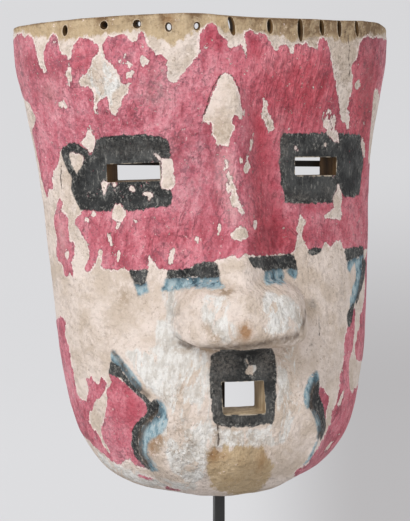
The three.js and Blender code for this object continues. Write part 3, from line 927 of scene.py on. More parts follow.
@dataclass
class FineSkin:
    """The outside of the mask as a fine grid, with the coordinates that its paint follows."""

    columns: int = 250
    chin_rows: int = 38
    chin_top: float = 24.0
    spacing: float = 1.12
    nose_spacing: float = 0.62
    nose_from: float = 84.0
    nose_to: float = 104.0
    middle_density: float = 0.72
    edge: float = 1.8
    edge_share: float = 0.3
    edge_steps: int = 3
    relief: Relief = field(default_factory=Relief)
    top_edge: TopEdge = field(default_factory=TopEdge)

    def heights(self) -> Array:
        """Heights of the rows below the rounded top edge.

        Returns:
            The heights, from the chin up.
        """
        chin = self.chin_top * (np.arange(1, self.chin_rows + 1) / self.chin_rows) ** 2
        stops = [self.chin_top, self.nose_from, self.nose_to, MASK_HEIGHT - self.edge]
        spacings = [self.spacing, self.nose_spacing, self.spacing]
        bands = [chin]
        for low, high, step in zip(stops, stops[1:], spacings):
            count = round((high - low) / step)
            bands.append(low + (high - low) * np.arange(1, count + 1) / count)
        return np.concatenate(bands)

    def turns(self) -> Array:
        """Angles round a section, closer together at the middle of the face."""
        u = np.linspace(-1, 1, self.columns + 1)
        return math.pi / 2 * (self.middle_density * u + (1 - self.middle_density) * u**3)

    def plain_rows(self, z: Array) -> Array:
        """Points of the uncarved section at each height, with its two back edges rounded.

        Args:
            z: Height of each row.

        Returns:
            Points by row and column.
        """
        side = np.minimum(OUTSIDE.track("left").at(z), OUTSIDE.track("right").at(z))
        radius = np.minimum(self.edge, self.edge_share * side)
        turn = self.turns()
        middle = OUTSIDE.section(z[:, None], turn[None, :], radius[:, None])
        angle = math.pi / 2 * np.arange(1, self.edge_steps + 1) / self.edge_steps
        inward, backward = radius[:, None] * (1 - np.cos(angle)), radius[:, None] * np.sin(angle)
        right = middle[:, -1:, :] + np.stack([-inward, backward, 0 * inward], axis=-1)
        left = middle[:, :1, :] + np.stack([inward, backward, 0 * inward], axis=-1)
        return np.concatenate([left[:, ::-1], middle, right], axis=1)

    def top_rows(self, row: Array) -> Array:
        """Rows that round the top edge over, drawn in from the highest plain row.

        Args:
            row: The highest plain row.

        Returns:
            Points by row and column.
        """
        along = np.roll(row, -1, axis=0) - np.roll(row, 1, axis=0)
        out = np.stack([along[:, 1], -along[:, 0], 0 * along[:, 0]], axis=-1)
        out /= np.linalg.norm(out, axis=1, keepdims=True)
        rows = []
        for angle in math.pi / 2 * np.arange(1, self.edge_steps + 1) / self.edge_steps:
            rise = np.array([0, 0, self.edge * math.sin(angle)])
            rows.append(row - out * self.edge * (1 - math.cos(angle)) + rise)
        return np.stack(rows)

    def grid(self) -> tuple[Array, Array, Array]:
        """Carved points by row and column, and the two coordinates that the paint follows.

        Returns:
            The points, and the coordinates across and up.
        """
        plain = self.plain_rows(self.heights())
        plain = np.concatenate([plain, self.top_rows(plain[-1])])
        step = np.linalg.norm(np.diff(plain, axis=1), axis=2)
        around = np.concatenate([np.zeros((len(plain), 1)), np.cumsum(step, axis=1)], axis=1)
        middle = plain.shape[1] // 2
        u = around - around[:, middle : middle + 1]
        v = plain[..., 2].copy()
        carved = self.relief.carve(plain)
        carved[..., 2] += self.top_edge.lift(carved[..., 0], v)
        return carved, u, v


def normals_of(rows: Array) -> Array:
    """Unit normals of a grid of points, pointing out of the face.

    Args:
        rows: Points by row and column.

    Returns:
        A unit normal for each point.
    """
    across = np.gradient(rows, axis=1)
    up = np.gradient(rows, axis=0)
    normal = np.cross(across, up)
    return normal / np.maximum(np.linalg.norm(normal, axis=2, keepdims=True), TINY)


def gap_to_segment(u: Array, v: Array, a: Sequence[float], b: Sequence[float]) -> Array:
    """Squared distance of points from a straight line between two ends.

    Args:
        u: First coordinate of each point.
        v: Second coordinate of each point.
        a: One end of the line.
        b: Its other end.

    Returns:
        The squared distance of each point.
    """
    du, dv = b[0] - a[0], b[1] - a[1]
    t = np.clip(((u - a[0]) * du + (v - a[1]) * dv) / max(du * du + dv * dv, TINY), 0, 1)
    return (u - a[0] - t * du) ** 2 + (v - a[1] - t * dv) ** 2


@dataclass
class PaintMap:
    """Carries outlines in the camera's picture onto the grid of the skin."""

    rows: Array
    u: Array
    v: Array
    lens: Lens
    placement: Placement
    far: float = 12.0
    rounding: float = 1.7
    side_stretch: float = 3.0
    lip_top: float = 91.5
    facing_limit: float = -0.02
    depth_cost: float = 0.03
    on_mask: float = 2.0
    flattest: float = 1e-6
    steepest: float = 3.0
    corner_cut: float = 0.2
    spot_scale: float = 0.6
    wear_margin: float = 1.2
    wear_limit: float = 0.1

    def __post_init__(self) -> None:
        """Finds where each grid point is seen, and how the paint coordinates run there."""
        across, down, depth = self.lens.see(self.placement.apply(self.rows))
        normal = normals_of(self.rows)
        _, forward, _ = self.lens.axes()
        whole = self.v <= MASK_HEIGHT - self.rounding
        self.facing = ((normal @ forward < self.facing_limit) & whole).ravel()
        self.across, self.down, self.depth = across.ravel(), down.ravel(), depth.ravel() / MM
        self.slopes = self._slopes(across, down)

    def _slopes(self, across: Array, down: Array) -> Array:
        """Paint millimetres for each picture point across and down, kept within reason.

        Args:
            across: Picture column of each grid point.
            down: Picture row of each grid point.

        Returns:
            Four slopes for each grid point.
        """
        fields = (across, down, self.u, self.v)
        (ax, ay), (dx, dy), (ux, uy), (vx, vy) = (np.gradient(f, axis=(1, 0)) for f in fields)
        size = ax * dy - ay * dx
        size = np.where(np.abs(size) < self.flattest, self.flattest, size)
        table = [
            (ux * dy - uy * dx) / size,
            (uy * ax - ux * ay) / size,
            (vx * dy - vy * dx) / size,
            (vy * ax - vx * ay) / size,
        ]
        return np.clip(np.stack([t.ravel() for t in table]), -self.steepest, self.steepest)

    def place(self, column: float, row: float) -> tuple[float, float]:
        """Paint coordinates of a place in the picture; places off the mask run on past its edge.

        Args:
            column: Picture column.
            row: Picture row.

        Returns:
            Its two paint coordinates.
        """
        gap = (self.across - column) ** 2 + (self.down - row) ** 2
        cost = np.where(self.facing, gap + self.depth_cost * self.depth, np.inf)
        k = int(np.argmin(cost))
        dx, dy = column - self.across[k], row - self.down[k]
        a, b, c, d = self.slopes[:, k]
        if gap[k] > self.on_mask:
            plain = self.depth[k] / self.lens.focal
            a, b, c, d = plain * (self.side_stretch if dx > 0 else 1), 0, 0, -plain
        return float(self.u.flat[k] + a * dx + b * dy), float(self.v.flat[k] + c * dx + d * dy)

    def carry(self, shape: Outline) -> Array:
        """An outline in paint coordinates, with its corners softened once.

        Args:
            shape: The outline in the picture.

        Returns:
            Its softened corners.
        """
        points = np.array([self.place(*p) for p in shape])
        after = np.roll(points, -1, axis=0)
        cut, rest = self.corner_cut, 1 - self.corner_cut
        return np.stack([rest * points + cut * after, cut * points + rest * after], axis=1).reshape(-1, 2)

    def inside(self, shape: Outline) -> Array:
        """Distance of each grid point inside an outline, in millimetres, negative outside it.

        Args:
            shape: The outline in the picture.

        Returns:
            The distance of each grid point.
        """
        ring = self.carry(shape)
        u, v = self.u.ravel(), self.v.ravel()
        low, high = ring.min(axis=0) - self.far, ring.max(axis=0) + self.far
        near = np.flatnonzero((u > low[0]) & (u < high[0]) & (v > low[1]) & (v < high[1]))
        pu, pv = u[near], v[near]
        best = np.full(len(near), self.far**2)
        within = np.zeros(len(near), bool)
        for a, b in zip(ring, np.roll(ring, -1, axis=0)):
            best = np.minimum(best, gap_to_segment(pu, pv, a, b))
            if a[1] != b[1]:
                crossing = a[0] + (b[0] - a[0]) * (pv - a[1]) / (b[1] - a[1])
                within ^= ((a[1] > pv) != (b[1] > pv)) & (pu < crossing)
        found = np.full(u.shape, -self.far)
        found[near] = np.where(within, 1, -1) * np.sqrt(best)
        return found

    def any_of(self, shapes: Sequence[Outline]) -> Array:
        """Distance of each grid point inside the nearest of several outlines."""
        return np.maximum.reduce([self.inside(shape) for shape in shapes])

    def marks(self, given: Sequence[Spot]) -> Array:
        """Strength of a set of soft marks at each grid point.

        Args:
            given: The marks.

        Returns:
            Their sum at each grid point.
        """
        total = np.zeros(self.u.size)
        for spot in given:
            u, v = self.place(spot.column, spot.row)
            wide, high = spot.half_width * self.spot_scale, spot.half_height * self.spot_scale
            away = ((self.u.ravel() - u) / wide) ** 2 + ((self.v.ravel() - v) / high) ** 2
            total += spot.strength * np.exp(-away)
        return total

    def near_lines(self, lines: Sequence[Outline]) -> Array:
        """Nearness of each grid point to a set of open lines: 0 on a line, negative away from it.

        Args:
            lines: The lines in the picture.

        Returns:
            The nearness of each grid point.
        """
        best = np.full(self.u.size, self.far**2)
        u, v = self.u.ravel(), self.v.ravel()
        for line in lines:
            points = [self.place(*p) for p in line]
            for a, b in zip(points, points[1:]):
                best = np.minimum(best, gap_to_segment(u, v, a, b))
        return -np.sqrt(best)

    def layers(self) -> Paint:
        """Every paint layer over the grid.

        Returns:
            The values of each layer.
        """
        loss = self.any_of(LOSSES)
        worn = self.any_of(WORN_PATCHES) - self.wear_margin
        lost = np.maximum(loss, np.minimum(worn, self.wear_limit))
        mouth = np.minimum(self.inside(MOUTH_BLACK), self.lip_top - self.v.ravel())
        black = np.maximum(self.any_of(BLACK_AREAS), mouth)
        return {
            Layer.WOOD: self.any_of(WOOD_AREAS),
            Layer.WHITE: self.any_of(WHITE_AND_UNDERSIDE_LIGHT_AREAS),
            Layer.PINK: np.minimum(self.any_of(PINK_AREAS), -lost),
            Layer.BLACK: np.minimum(black, -loss),
            Layer.RIDGE: self.marks(RIDGES),
            Layer.CRACK_AND_EDGE_SHADE: self.near_lines(CRACKS_AND_EDGE_SHADES),
            Layer.CREASE: self.near_lines(CORNER_SHADE_LINES),
            Layer.DEEP_PINK: self.marks(DEEP_PINKS_AND_SHADES),
            Layer.CHIP: np.zeros(self.u.size),
            Layer.TOP: self.v.ravel() - MASK_HEIGHT,
            Layer.BLUE: self.any_of(BLUE_AREAS),
            Layer.DEEP: self.any_of(DEEP_RED_AND_SHADE_AREAS),
            Layer.STAIN_AND_SHADE: self.marks(STAINS_AND_SHADES),
            Layer.OCHRE: self.marks(OCHRES),
            Layer.SCUFF: self.marks(SCUFFS),
        }


class Eye(NamedTuple):
    """One eye slot: its place and width, and in degrees its turn outwards and its rise."""

    x: float
    z: float
    width: float
    turn: float
    tilt: float


class CordHole(NamedTuple):
    """One hole by the top edge: its place, its half sizes and its lean, in degrees."""

    x: float
    z: float
    half_width: float
    half_height: float
    lean: float


@dataclass
class Openings:
    """Everything cut right through the mask: eyes, mouth, cord holes and the bar's sockets."""

    eyes: tuple[Eye, ...] = (Eye(-55.6, 192.5, 32.6, -31, 5.5), Eye(55.9, 194.4, 32.4, 15, 3))
    eye_height: float = 10.8
    mouth_z: float = 59.8
    mouth_width: float = 25.2
    mouth_height: float = 18.4
    mouth_tilt: float = 6
    cut_length: float = 70
    holes: tuple[CordHole, ...] = (
        CordHole(-92.4, 276.9, 1.15, 2.0, 8),
        CordHole(-72.1, 278.6, 1.45, 1.6, 10),
        CordHole(-54.2, 278.4, 1.55, 1.7, 8),
        CordHole(-36.6, 276.1, 1.45, 1.95, -6),
        CordHole(-20.3, 276.4, 1.4, 1.75, 4),
        CordHole(0, 277, 1.25, 4.1, -12),
        CordHole(23.7, 276.2, 1.25, 3.0, -4),
        CordHole(43.2, 274.8, 1.2, 4.6, -3),
        CordHole(57.7, 276.4, 1.1, 3.3, -9),
        CordHole(70.2, 276.8, 1.1, 3.8, -5),
        CordHole(83.6, 276.9, 1.2, 3.3, -12),
    )
    hole_length: float = 36
    bar_side: float = 3.6
    bar_centre: float = 198.8
    bar_into_wall: float = 5
    rod_y: float = 23
    gap: float = 0.3
    softness: float = 0.06
    halvings: int = 40
    turn_step: float = 0.01
    relief: Relief = field(default_factory=Relief)

    def turn_at(self, x: float, z: float) -> float:
        """Angle whose plain section point lies at x, found by halving.

        Args:
            x: Place across.
            z: Height.

        Returns:
            The angle.
        """
        low, high = -math.pi / 2, math.pi / 2
        for _ in range(self.halvings):
            middle = (low + high) / 2
            at = OUTSIDE.section(np.array([z]), np.array([middle]))[0, 0]
            low, high = (middle, high) if at < x else (low, middle)
        return low

    def face_point(self, x: float, z: float, turn_by: float = 0.0) -> Array:
        """Triple of the plain outside at x, or a little further round."""
        turn = self.turn_at(x, z) + turn_by
        return OUTSIDE.section(np.array([z]), np.array([turn]))[0]

    def box(self, size: tuple[float, float, float], turned: Matrix, face: Face = Face.OPENING) -> Object:
        """Box cutter with slightly softened long edges, in the mask's millimetres.

        Args:
            size: Width, length and height.
            turned: Where the box stands.
            face: Kind of surface that it leaves.

        Returns:
            The cutter.
        """
        width, length, height = (s / 2 for s in size)
        soft = min(width, height) * self.softness
        corner = [(width - soft, height), (width, height - soft)]
        ring = corner + [(x, -z) for x, z in corner[::-1]]
        ring = ring + [(-x, -z) for x, z in ring]
        front = np.array([(x, -length, z) for x, z in ring])
        back = front + np.array([0, 2 * length, 0])
        count = len(ring)
        faces = [tuple(range(count)), tuple(range(2 * count - 1, count - 1, -1))]
        faces += [(k, count + k, count + (k + 1) % count, (k + 1) % count) for k in range(count)]
        points = np.concatenate([front, back])
        moved = np.array([turned @ Vector(p) for p in points])
        cutter = make_object("cutter", Shell(moved, faces), face.value)
        self._turn_out(cutter)
        return cutter

    def _turn_out(self, cutter: Object) -> None:
        """Flips a cutter whose faces point inwards.

        Args:
            cutter: The cutter.
        """
        mesh = cutter.data
        middle = vertices_of(mesh).mean(axis=0)
        face = mesh.polygons[0]
        if (Vector(face.center) - Vector(middle)).dot(face.normal) < 0:
            mesh.flip_normals()

    def eye_cutters(self) -> list[Object]:
        """Slots of the two eyes, each turned to face outwards.

        Returns:
            The two cutters.
        """
        made = []
        for eye in self.eyes:
            at = Matrix.Translation((eye.x, self.face_point(eye.x, eye.z)[1], eye.z))
            turned = at @ Matrix.Rotation(math.radians(eye.turn), 4, "Z")
            turned = turned @ Matrix.Rotation(math.radians(eye.tilt), 4, "X")
            made.append(self.box((eye.width, self.cut_length, self.eye_height), turned))
        return made

    def mouth_cutter(self) -> Object:
        """The square mouth, tilted a little upwards.

        Returns:
            The cutter.
        """
        face = self.relief.carve(OUTSIDE.section(np.array([self.mouth_z]), np.array([0.0])))[0]
        at = Matrix.Translation((0, face[1], self.mouth_z))
        turned = at @ Matrix.Rotation(math.radians(self.mouth_tilt), 4, "X")
        return self.box((self.mouth_width, self.cut_length, self.mouth_height), turned, Face.MOUTH)

    def bar_reach(self, column: str) -> float:
        """Reach of the bar's end on one side: just into the side wall of the hollow.

        Args:
            column: Side of the stations, left or right.

        Returns:
            The distance of the end from the middle.
        """
        z = np.array([self.bar_centre])
        front, side = HOLLOW.track("front").at(z)[0], HOLLOW.track(column).at(z)[0]
        return side * math.sqrt(1 - (self.rod_y / front) ** 2) + self.bar_into_wall

    def bar_cutter(self, placement: Placement) -> Object:
        """Sockets for the ends of the stand's cross bar.

        Args:
            placement: Where the mask hangs.

        Returns:
            The cutter.
        """
        low, high = -self.bar_reach("left") - self.gap, self.bar_reach("right") + self.gap
        side = self.bar_side + 2 * self.gap
        middle = Vector((placement.aside + (low + high) / 2, 0, self.bar_centre + placement.lift))
        to_metres = Matrix.Scale(MM, 4) @ Matrix.Translation(middle)
        return self.box((high - low, side, side), placement.matrix().inverted() @ to_metres)

    def hole_cutters(self, finish: Material) -> Object:
        """The row of cord holes, set out along the top edge by a node tree.

        Args:
            finish: Finish of the walls of the holes.

        Returns:
            All the cutters as one object.
        """
        points, facings = [], []
        for hole in self.holes:
            before, at, after = (self.face_point(hole.x, hole.z, k * self.turn_step) for k in (-1, 0, 1))
            points.append(tuple(at))
            facings.append(math.atan2(after[1] - before[1], after[0] - before[0]))
        mesh = bpy.data.meshes.new("cord_holes")
        mesh.from_pydata(points, [], [])
        given = {"facing": facings, "lean": [math.radians(hole.lean) for hole in self.holes]}
        for name in ("half_width", "half_height"):
            given[name] = [getattr(hole, name) for hole in self.holes]
        for name, values in given.items():
            mesh.attributes.new(name, "FLOAT", "POINT").data.foreach_set("value", values)
        holes = bpy.data.objects.new("cord_holes", mesh)
        bpy.context.scene.collection.objects.link(holes)
        HoleRowTree(self.hole_length).apply(holes, finish)
        kinds = np.full(len(holes.data.polygons), Face.OPENING.value, np.int32)
        holes.data.polygons.foreach_set("material_index", kinds)
        return holes


@dataclass(frozen=True)
class HoleRowTree:
    """Geometry nodes that set a flared, worn cutter, rising to the back, on every point of a row."""

    length: float
    sides: int = 20
    segments: int = 36
    flare: float = 0.75
    rise: float = math.radians(5)
    flare_depth: float = 3.0
    wear: float = 0.35
    wear_scale: float = 0.5
    seed: int = 7

    def _tube(self, g: "Graph", given: Node) -> NodeSocket:
        """One cutter of unit radius, flared towards the outside and slightly uneven.

        Args:
            g: Tree that takes the nodes.
            given: The tree's inputs.

        Returns:
            The mesh of the cutter.
        """
        size = {"Vertices": self.sides, "Side Segments": self.segments, "Radius": 1}
        tube = g.add("GeometryNodeMeshCylinder", size | {"Depth": given.outputs["Length"]})
        at = g.split(g.add("GeometryNodeInputPosition").outputs["Position"])
        widen = g.times_plus(g.ramp(at["Z"], -self.flare_depth, 1.0), given.outputs["Flare"], 1.0)
        wear = {"W": given.outputs["Seed"], "Scale": self.wear_scale}
        noise = g.add("ShaderNodeTexNoise", wear, noise_dimensions="4D")
        factor = g.times_plus(g.minus(noise.outputs["Fac"], 0.5), given.outputs["Wear"], widen)
        moved = g.joined(g.times(at["X"], factor), g.times(at["Y"], factor), at["Z"])
        shaped = g.add("GeometryNodeSetPosition", {"Geometry": tube.outputs["Mesh"], "Position": moved})
        return shaped.outputs["Geometry"]

    def _named(self, g: "Graph", name: str) -> NodeSocket:
        """Value of a named attribute of the row's points."""
        node = g.add("GeometryNodeInputNamedAttribute", {"Name": name}, data_type="FLOAT")
        return node.outputs["Attribute"]

    def build(self) -> NodeTree:
        """Makes the tree with its named inputs.

        Returns:
            The tree.
        """
        tree = bpy.data.node_groups.new("cord_hole_row", "GeometryNodeTree")
        tree.interface.new_socket("Geometry", in_out="INPUT", socket_type="NodeSocketGeometry")
        for name in ("Length", "Flare", "Wear", "Seed"):
            tree.interface.new_socket(name, in_out="INPUT", socket_type="NodeSocketFloat")
        tree.interface.new_socket("Material", in_out="INPUT", socket_type="NodeSocketMaterial")
        tree.interface.new_socket("Geometry", in_out="OUTPUT", socket_type="NodeSocketGeometry")
        g = Graph(tree)
        given = g.add("NodeGroupInput")
        spin = g.joined(math.pi / 2 + self.rise, self._named(g, "lean"), self._named(g, "facing"))
        spread = {
            "Points": given.outputs["Geometry"],
            "Instance": self._tube(g, given),
            "Rotation": g.add("FunctionNodeEulerToRotation", {"Euler": spin}).outputs["Rotation"],
            "Scale": g.joined(self._named(g, "half_width"), self._named(g, "half_height"), 1),
        }
        holes = g.add("GeometryNodeInstanceOnPoints", spread).outputs["Instances"]
        real = g.add("GeometryNodeRealizeInstances", {"Geometry": holes}).outputs["Geometry"]
        finish = {"Geometry": real, "Material": given.outputs["Material"]}
        g.add("NodeGroupOutput", {"Geometry": g.add("GeometryNodeSetMaterial", finish).outputs["Geometry"]})
        return tree

    def apply(self, holes: Object, finish: Material) -> None:
        """Turns the row of points into the cutters.

        Args:
            holes: The row of points.
            finish: Finish of the walls of the holes.
        """
        modifier = holes.modifiers.new("holes", "NODES")
        modifier.node_group = self.build()
        given = {"Length": self.length, "Flare": self.flare, "Wear": self.wear, "Seed": float(self.seed)}
        set_inputs(modifier, given | {"Material": finish})
        settle(holes)


def set_inputs(modifier: Modifier, given: dict[str, Any]) -> None:
    """Sets a node modifier's inputs, found by name, through their identifiers.

    Args:
        modifier: The modifier.
        given: Value of each input by name.
    """
    for item in modifier.node_group.interface.items_tree:
        if item.item_type == "SOCKET" and item.in_out == "INPUT" and item.name in given:
            modifier[item.identifier] = given[item.name]


class Graph:
    """Short words for building a node tree."""

    def __init__(self, tree: NodeTree) -> None:
        """Starts on a tree, with no place yet at which its patterns are read."""
        self.tree = tree
        self.here: Any = None

    def feed(self, socket: NodeSocket, value: Any) -> None:
        """Links a socket to an output, or sets its value.

        Args:
            socket: The socket.
            value: An output, a value, or None to leave it.
        """
        if isinstance(value, NodeSocket):
            self.tree.links.new(value, socket)
        elif value is not None:
            socket.default_value = value

    def fill(self, node: Node, given: dict[Any, Any]) -> None:
        """Feeds the inputs of a node by name or number."""
        for name, value in given.items():
            self.feed(node.inputs[name], value)

    def add(self, kind: str, given: dict[Any, Any] | None = None, **settings: Any) -> Node:
        """Adds a node.

        Args:
            kind: Type of the node.
            given: What feeds its inputs.
            settings: Its properties.

        Returns:
            The node.
        """
        node = self.tree.nodes.new(kind)
        for name, value in settings.items():
            setattr(node, name, value)
        self.fill(node, given or {})
        return node

    def math(self, operation: str, a: Any, b: Any = None, c: Any = None, clamp: bool = False) -> NodeSocket:
        """Result of a sum on one to three values."""
        given = {0: a, 1: b, 2: c}
        return self.add("ShaderNodeMath", given, operation=operation, use_clamp=clamp).outputs[0]

    def times(self, a: Any, b: Any, clamp: bool = False) -> NodeSocket:
        """Product of two values."""
        return self.math("MULTIPLY", a, b, clamp=clamp)

    def times_plus(self, a: Any, b: Any, c: Any, clamp: bool = False) -> NodeSocket:
        """Product of two values, and a third added to it."""
        return self.math("MULTIPLY_ADD", a, b, c, clamp)

    def plus(self, a: Any, b: Any) -> NodeSocket:
        """Sum of two values."""
        return self.math("ADD", a, b)

    def minus(self, a: Any, b: Any, clamp: bool = False) -> NodeSocket:
        """Difference of two values."""
        return self.math("SUBTRACT", a, b, clamp=clamp)

    def ramp(self, value: Any, low: Any, high: Any, to_low: float = 0.0, to_high: float = 1.0) -> NodeSocket:
        """Smooth step of a value between low and high."""
        given = {"Value": value, "From Min": low, "From Max": high, "To Min": to_low, "To Max": to_high}
        return self.add("ShaderNodeMapRange", given, interpolation_type="SMOOTHSTEP").outputs["Result"]

    def blend(self, share: Any, base: Any, top: Any, how: str = "MIX") -> NodeSocket:
        """Colour between base and top by a share."""
        given = {0: share, 6: base, 7: top}
        return self.add("ShaderNodeMix", given, data_type="RGBA", blend_type=how).outputs[2]

    def noise(
        self, scale: Any, detail: float, roughness: float, distortion: float = 0.0, vector: Any = None
    ) -> NodeSocket:
        """Cloudy value around a half."""
        given = {"Vector": vector or self.here, "Scale": scale, "Detail": detail, "Roughness": roughness}
        return self.add("ShaderNodeTexNoise", given | {"Distortion": distortion}).outputs["Fac"]

    def tones(self, value: Any, stops: Sequence[tuple[float, Colour]]) -> NodeSocket:
        """Colour that runs through stops as a value grows.

        Args:
            value: What the colour follows.
            stops: Places from 0 to 1 and their colours.

        Returns:
            The colour.
        """
        node = self.add("ShaderNodeValToRGB", {"Fac": value})
        ramp = node.color_ramp
        while len(ramp.elements) < len(stops):
            ramp.elements.new(0.5)
        for element, (place, tone) in zip(ramp.elements, stops):
            element.position = place
            element.color = tone
        return node.outputs["Color"]

    def stretched(self, length: float, lean: float = 0.0) -> NodeSocket:
        """Coordinates in which a pattern is drawn out upwards, leaning by an angle."""
        given = {"Vector": self.here, "Scale": (1, 1, length), "Rotation": (0, lean, 0)}
        return self.add("ShaderNodeMapping", given, vector_type="TEXTURE").outputs["Vector"]

    def attribute(self, layer: Layer) -> NodeSocket:
        """Value of a layer at each vertex."""
        return self.add("ShaderNodeAttribute", attribute_name=layer.value).outputs["Fac"]

    def split(self, vector: Any) -> dict[str, NodeSocket]:
        """The three parts of a vector, by name."""
        return dict(self.add("ShaderNodeSeparateXYZ", {"Vector": vector}).outputs.items())

    def joined(self, x: Any, y: Any, z: Any) -> NodeSocket:
        """Vector of three values."""
        return self.add("ShaderNodeCombineXYZ", {"X": x, "Y": y, "Z": z}).outputs["Vector"]

    def bump(self, height_mm: Any) -> NodeSocket:
        """Normals bent by a height in millimetres."""
        given = {"Strength": 1.0, "Distance": MM, "Height": height_mm}
        return self.add("ShaderNodeBump", given).outputs["Normal"]

    def group(self, tree: NodeTree, **given: Any) -> dict[str, NodeSocket]:
        """Outputs of a node group that is placed here with its inputs."""
        node = self.add("ShaderNodeGroup", {"Vector": self.here} | given, node_tree=tree)
        return dict(node.outputs.items())


class EffectGroups:
    """Shader node groups that several finishes share, each built when it is first asked for."""

    def _start(
        self, name: str, inputs: dict[str, Any], outputs: dict[str, str]
    ) -> tuple[Graph, dict[str, NodeSocket], Node]:
        """Makes an empty group with named sockets.

        Args:
            name: Name of the group.
            inputs: Default of each input, None for a vector.
            outputs: Type of each output.

        Returns:
            The graph, its inputs, and the node that takes its outputs.
        """
        tree = bpy.data.node_groups.new(name, "ShaderNodeTree")
        for label, default in inputs.items():
            kind = {tuple: "Color", float: "Float"}.get(type(default), "Vector")
            socket = tree.interface.new_socket(label, in_out="INPUT", socket_type="NodeSocket" + kind)
            if default is not None:
                socket.default_value = default
        for label, kind in outputs.items():
            tree.interface.new_socket(label, in_out="OUTPUT", socket_type="NodeSocket" + kind)
        graph = Graph(tree)
        given = dict(graph.add("NodeGroupInput").outputs.items())
        graph.here = given["Vector"]
        return graph, given, graph.add("NodeGroupOutput")

    @cached_property
    def ragged(self) -> NodeTree:
        """Broken edge of a paint layer, from its distance in millimetres.

        Returns:
            The group.
        """
        inputs = {"Vector": None, "Distance": 0.0, "Raggedness": 1.0, "Softness": 0.15}
        g, given, result = self._start("ragged_edge", inputs, {"Mask": "Float", "Edge": "Float"})
        drawn = g.stretched(1.8)
        broad = g.minus(g.noise(230, 4, 0.62, 0.3, vector=drawn), 0.5)
        fine = g.minus(g.noise(1000, 3, 0.7, vector=drawn), 0.5)
        wander = g.times(g.times_plus(broad, 7.0, g.times(fine, 2.2)), given["Raggedness"])
        distance = g.plus(given["Distance"], wander)
        g.feed(result.inputs["Mask"], g.ramp(distance, g.times(given["Softness"], -1.0), given["Softness"]))
        g.feed(result.inputs["Edge"], g.ramp(g.math("ABSOLUTE", g.plus(distance, 0.35)), 0.85, 0.25))
        return g.tree

    @cached_property
    def wrinkles(self) -> NodeTree:
        """Net of fine creases in thick old paint, as a mask.

        Returns:
            The group.
        """
        inputs = {"Vector": None, "Scale": 100.0, "Width": 0.05}
        g, given, result = self._start("wrinkles", inputs, {"Mask": "Float"})
        cloud = g.noise(given["Scale"], 5, 0.62, 0.7)
        away = g.math("ABSOLUTE", g.minus(cloud, 0.5))
        line = g.minus(1.0, g.math("DIVIDE", away, given["Width"]), clamp=True)
        broken = g.ramp(g.noise(60, 5, 0.68), 0.47, 0.58)
        g.feed(result.inputs["Mask"], g.times(line, broken))
        return g.tree

    @cached_property
    def grain(self) -> NodeTree:
        """Wood grain that runs up the mask, as a colour and a height.

        Returns:
            The group.
        """
        inputs = {"Vector": None, "Light": (0.4, 0.3, 0.2, 1.0), "Dark": (0.2, 0.1, 0.05, 1.0), "Scale": 1.0}
        g, given, result = self._start("wood_grain", inputs, {"Color": "Color", "Height": "Float"})
        along, scale = g.stretched(14), given["Scale"]
        bands = g.noise(g.times(scale, 170), 4, 0.65, 0.6, vector=along)
        fibres = g.noise(g.times(scale, 900), 2, 0.6, vector=along)
        cloud = g.noise(g.times(scale, 28), 3, 0.6)
        mixed = g.plus(g.plus(g.times(bands, 0.5), g.times(fibres, 0.25)), g.times(cloud, 0.25))
        g.feed(result.inputs["Color"], g.blend(g.ramp(mixed, 0.32, 0.66), given["Dark"], given["Light"]))
        g.feed(result.inputs["Height"], g.plus(g.times(bands, 0.6), g.times(fibres, 0.4)))
        return g.tree

    @cached_property
    def grime(self) -> NodeTree:
        """Cloudy dirt with specks in it, as a mask.

        Returns:
            The group.
        """
        g, given, result = self._start("grime", {"Vector": None, "Amount": 0.5}, {"Mask": "Float"})
        cloud = g.ramp(g.noise(55, 6, 0.68, 0.5), 0.42, 0.75)
        specks = g.ramp(g.noise(900, 2, 0.7), 0.66, 0.74)
        both = g.plus(cloud, g.times(specks, 0.5))
        g.feed(result.inputs["Mask"], g.times(both, given["Amount"], clamp=True))
        return g.tree


def new_material(name: str) -> tuple[Material, Graph, Node]:
    """Empty node material with its Principled BSDF.

    Args:
        name: Name of the material.

    Returns:
        The material, its graph and its shader.
    """
    material = bpy.data.materials.new(name)
    material.use_nodes = True
    material.node_tree.nodes.clear()
    graph = Graph(material.node_tree)
    shader = graph.add("ShaderNodeBsdfPrincipled")
    graph.add("ShaderNodeOutputMaterial", {"Surface": shader.outputs["BSDF"]})
    graph.here = graph.add("ShaderNodeTexCoord").outputs["Object"]
    return material, graph, shader


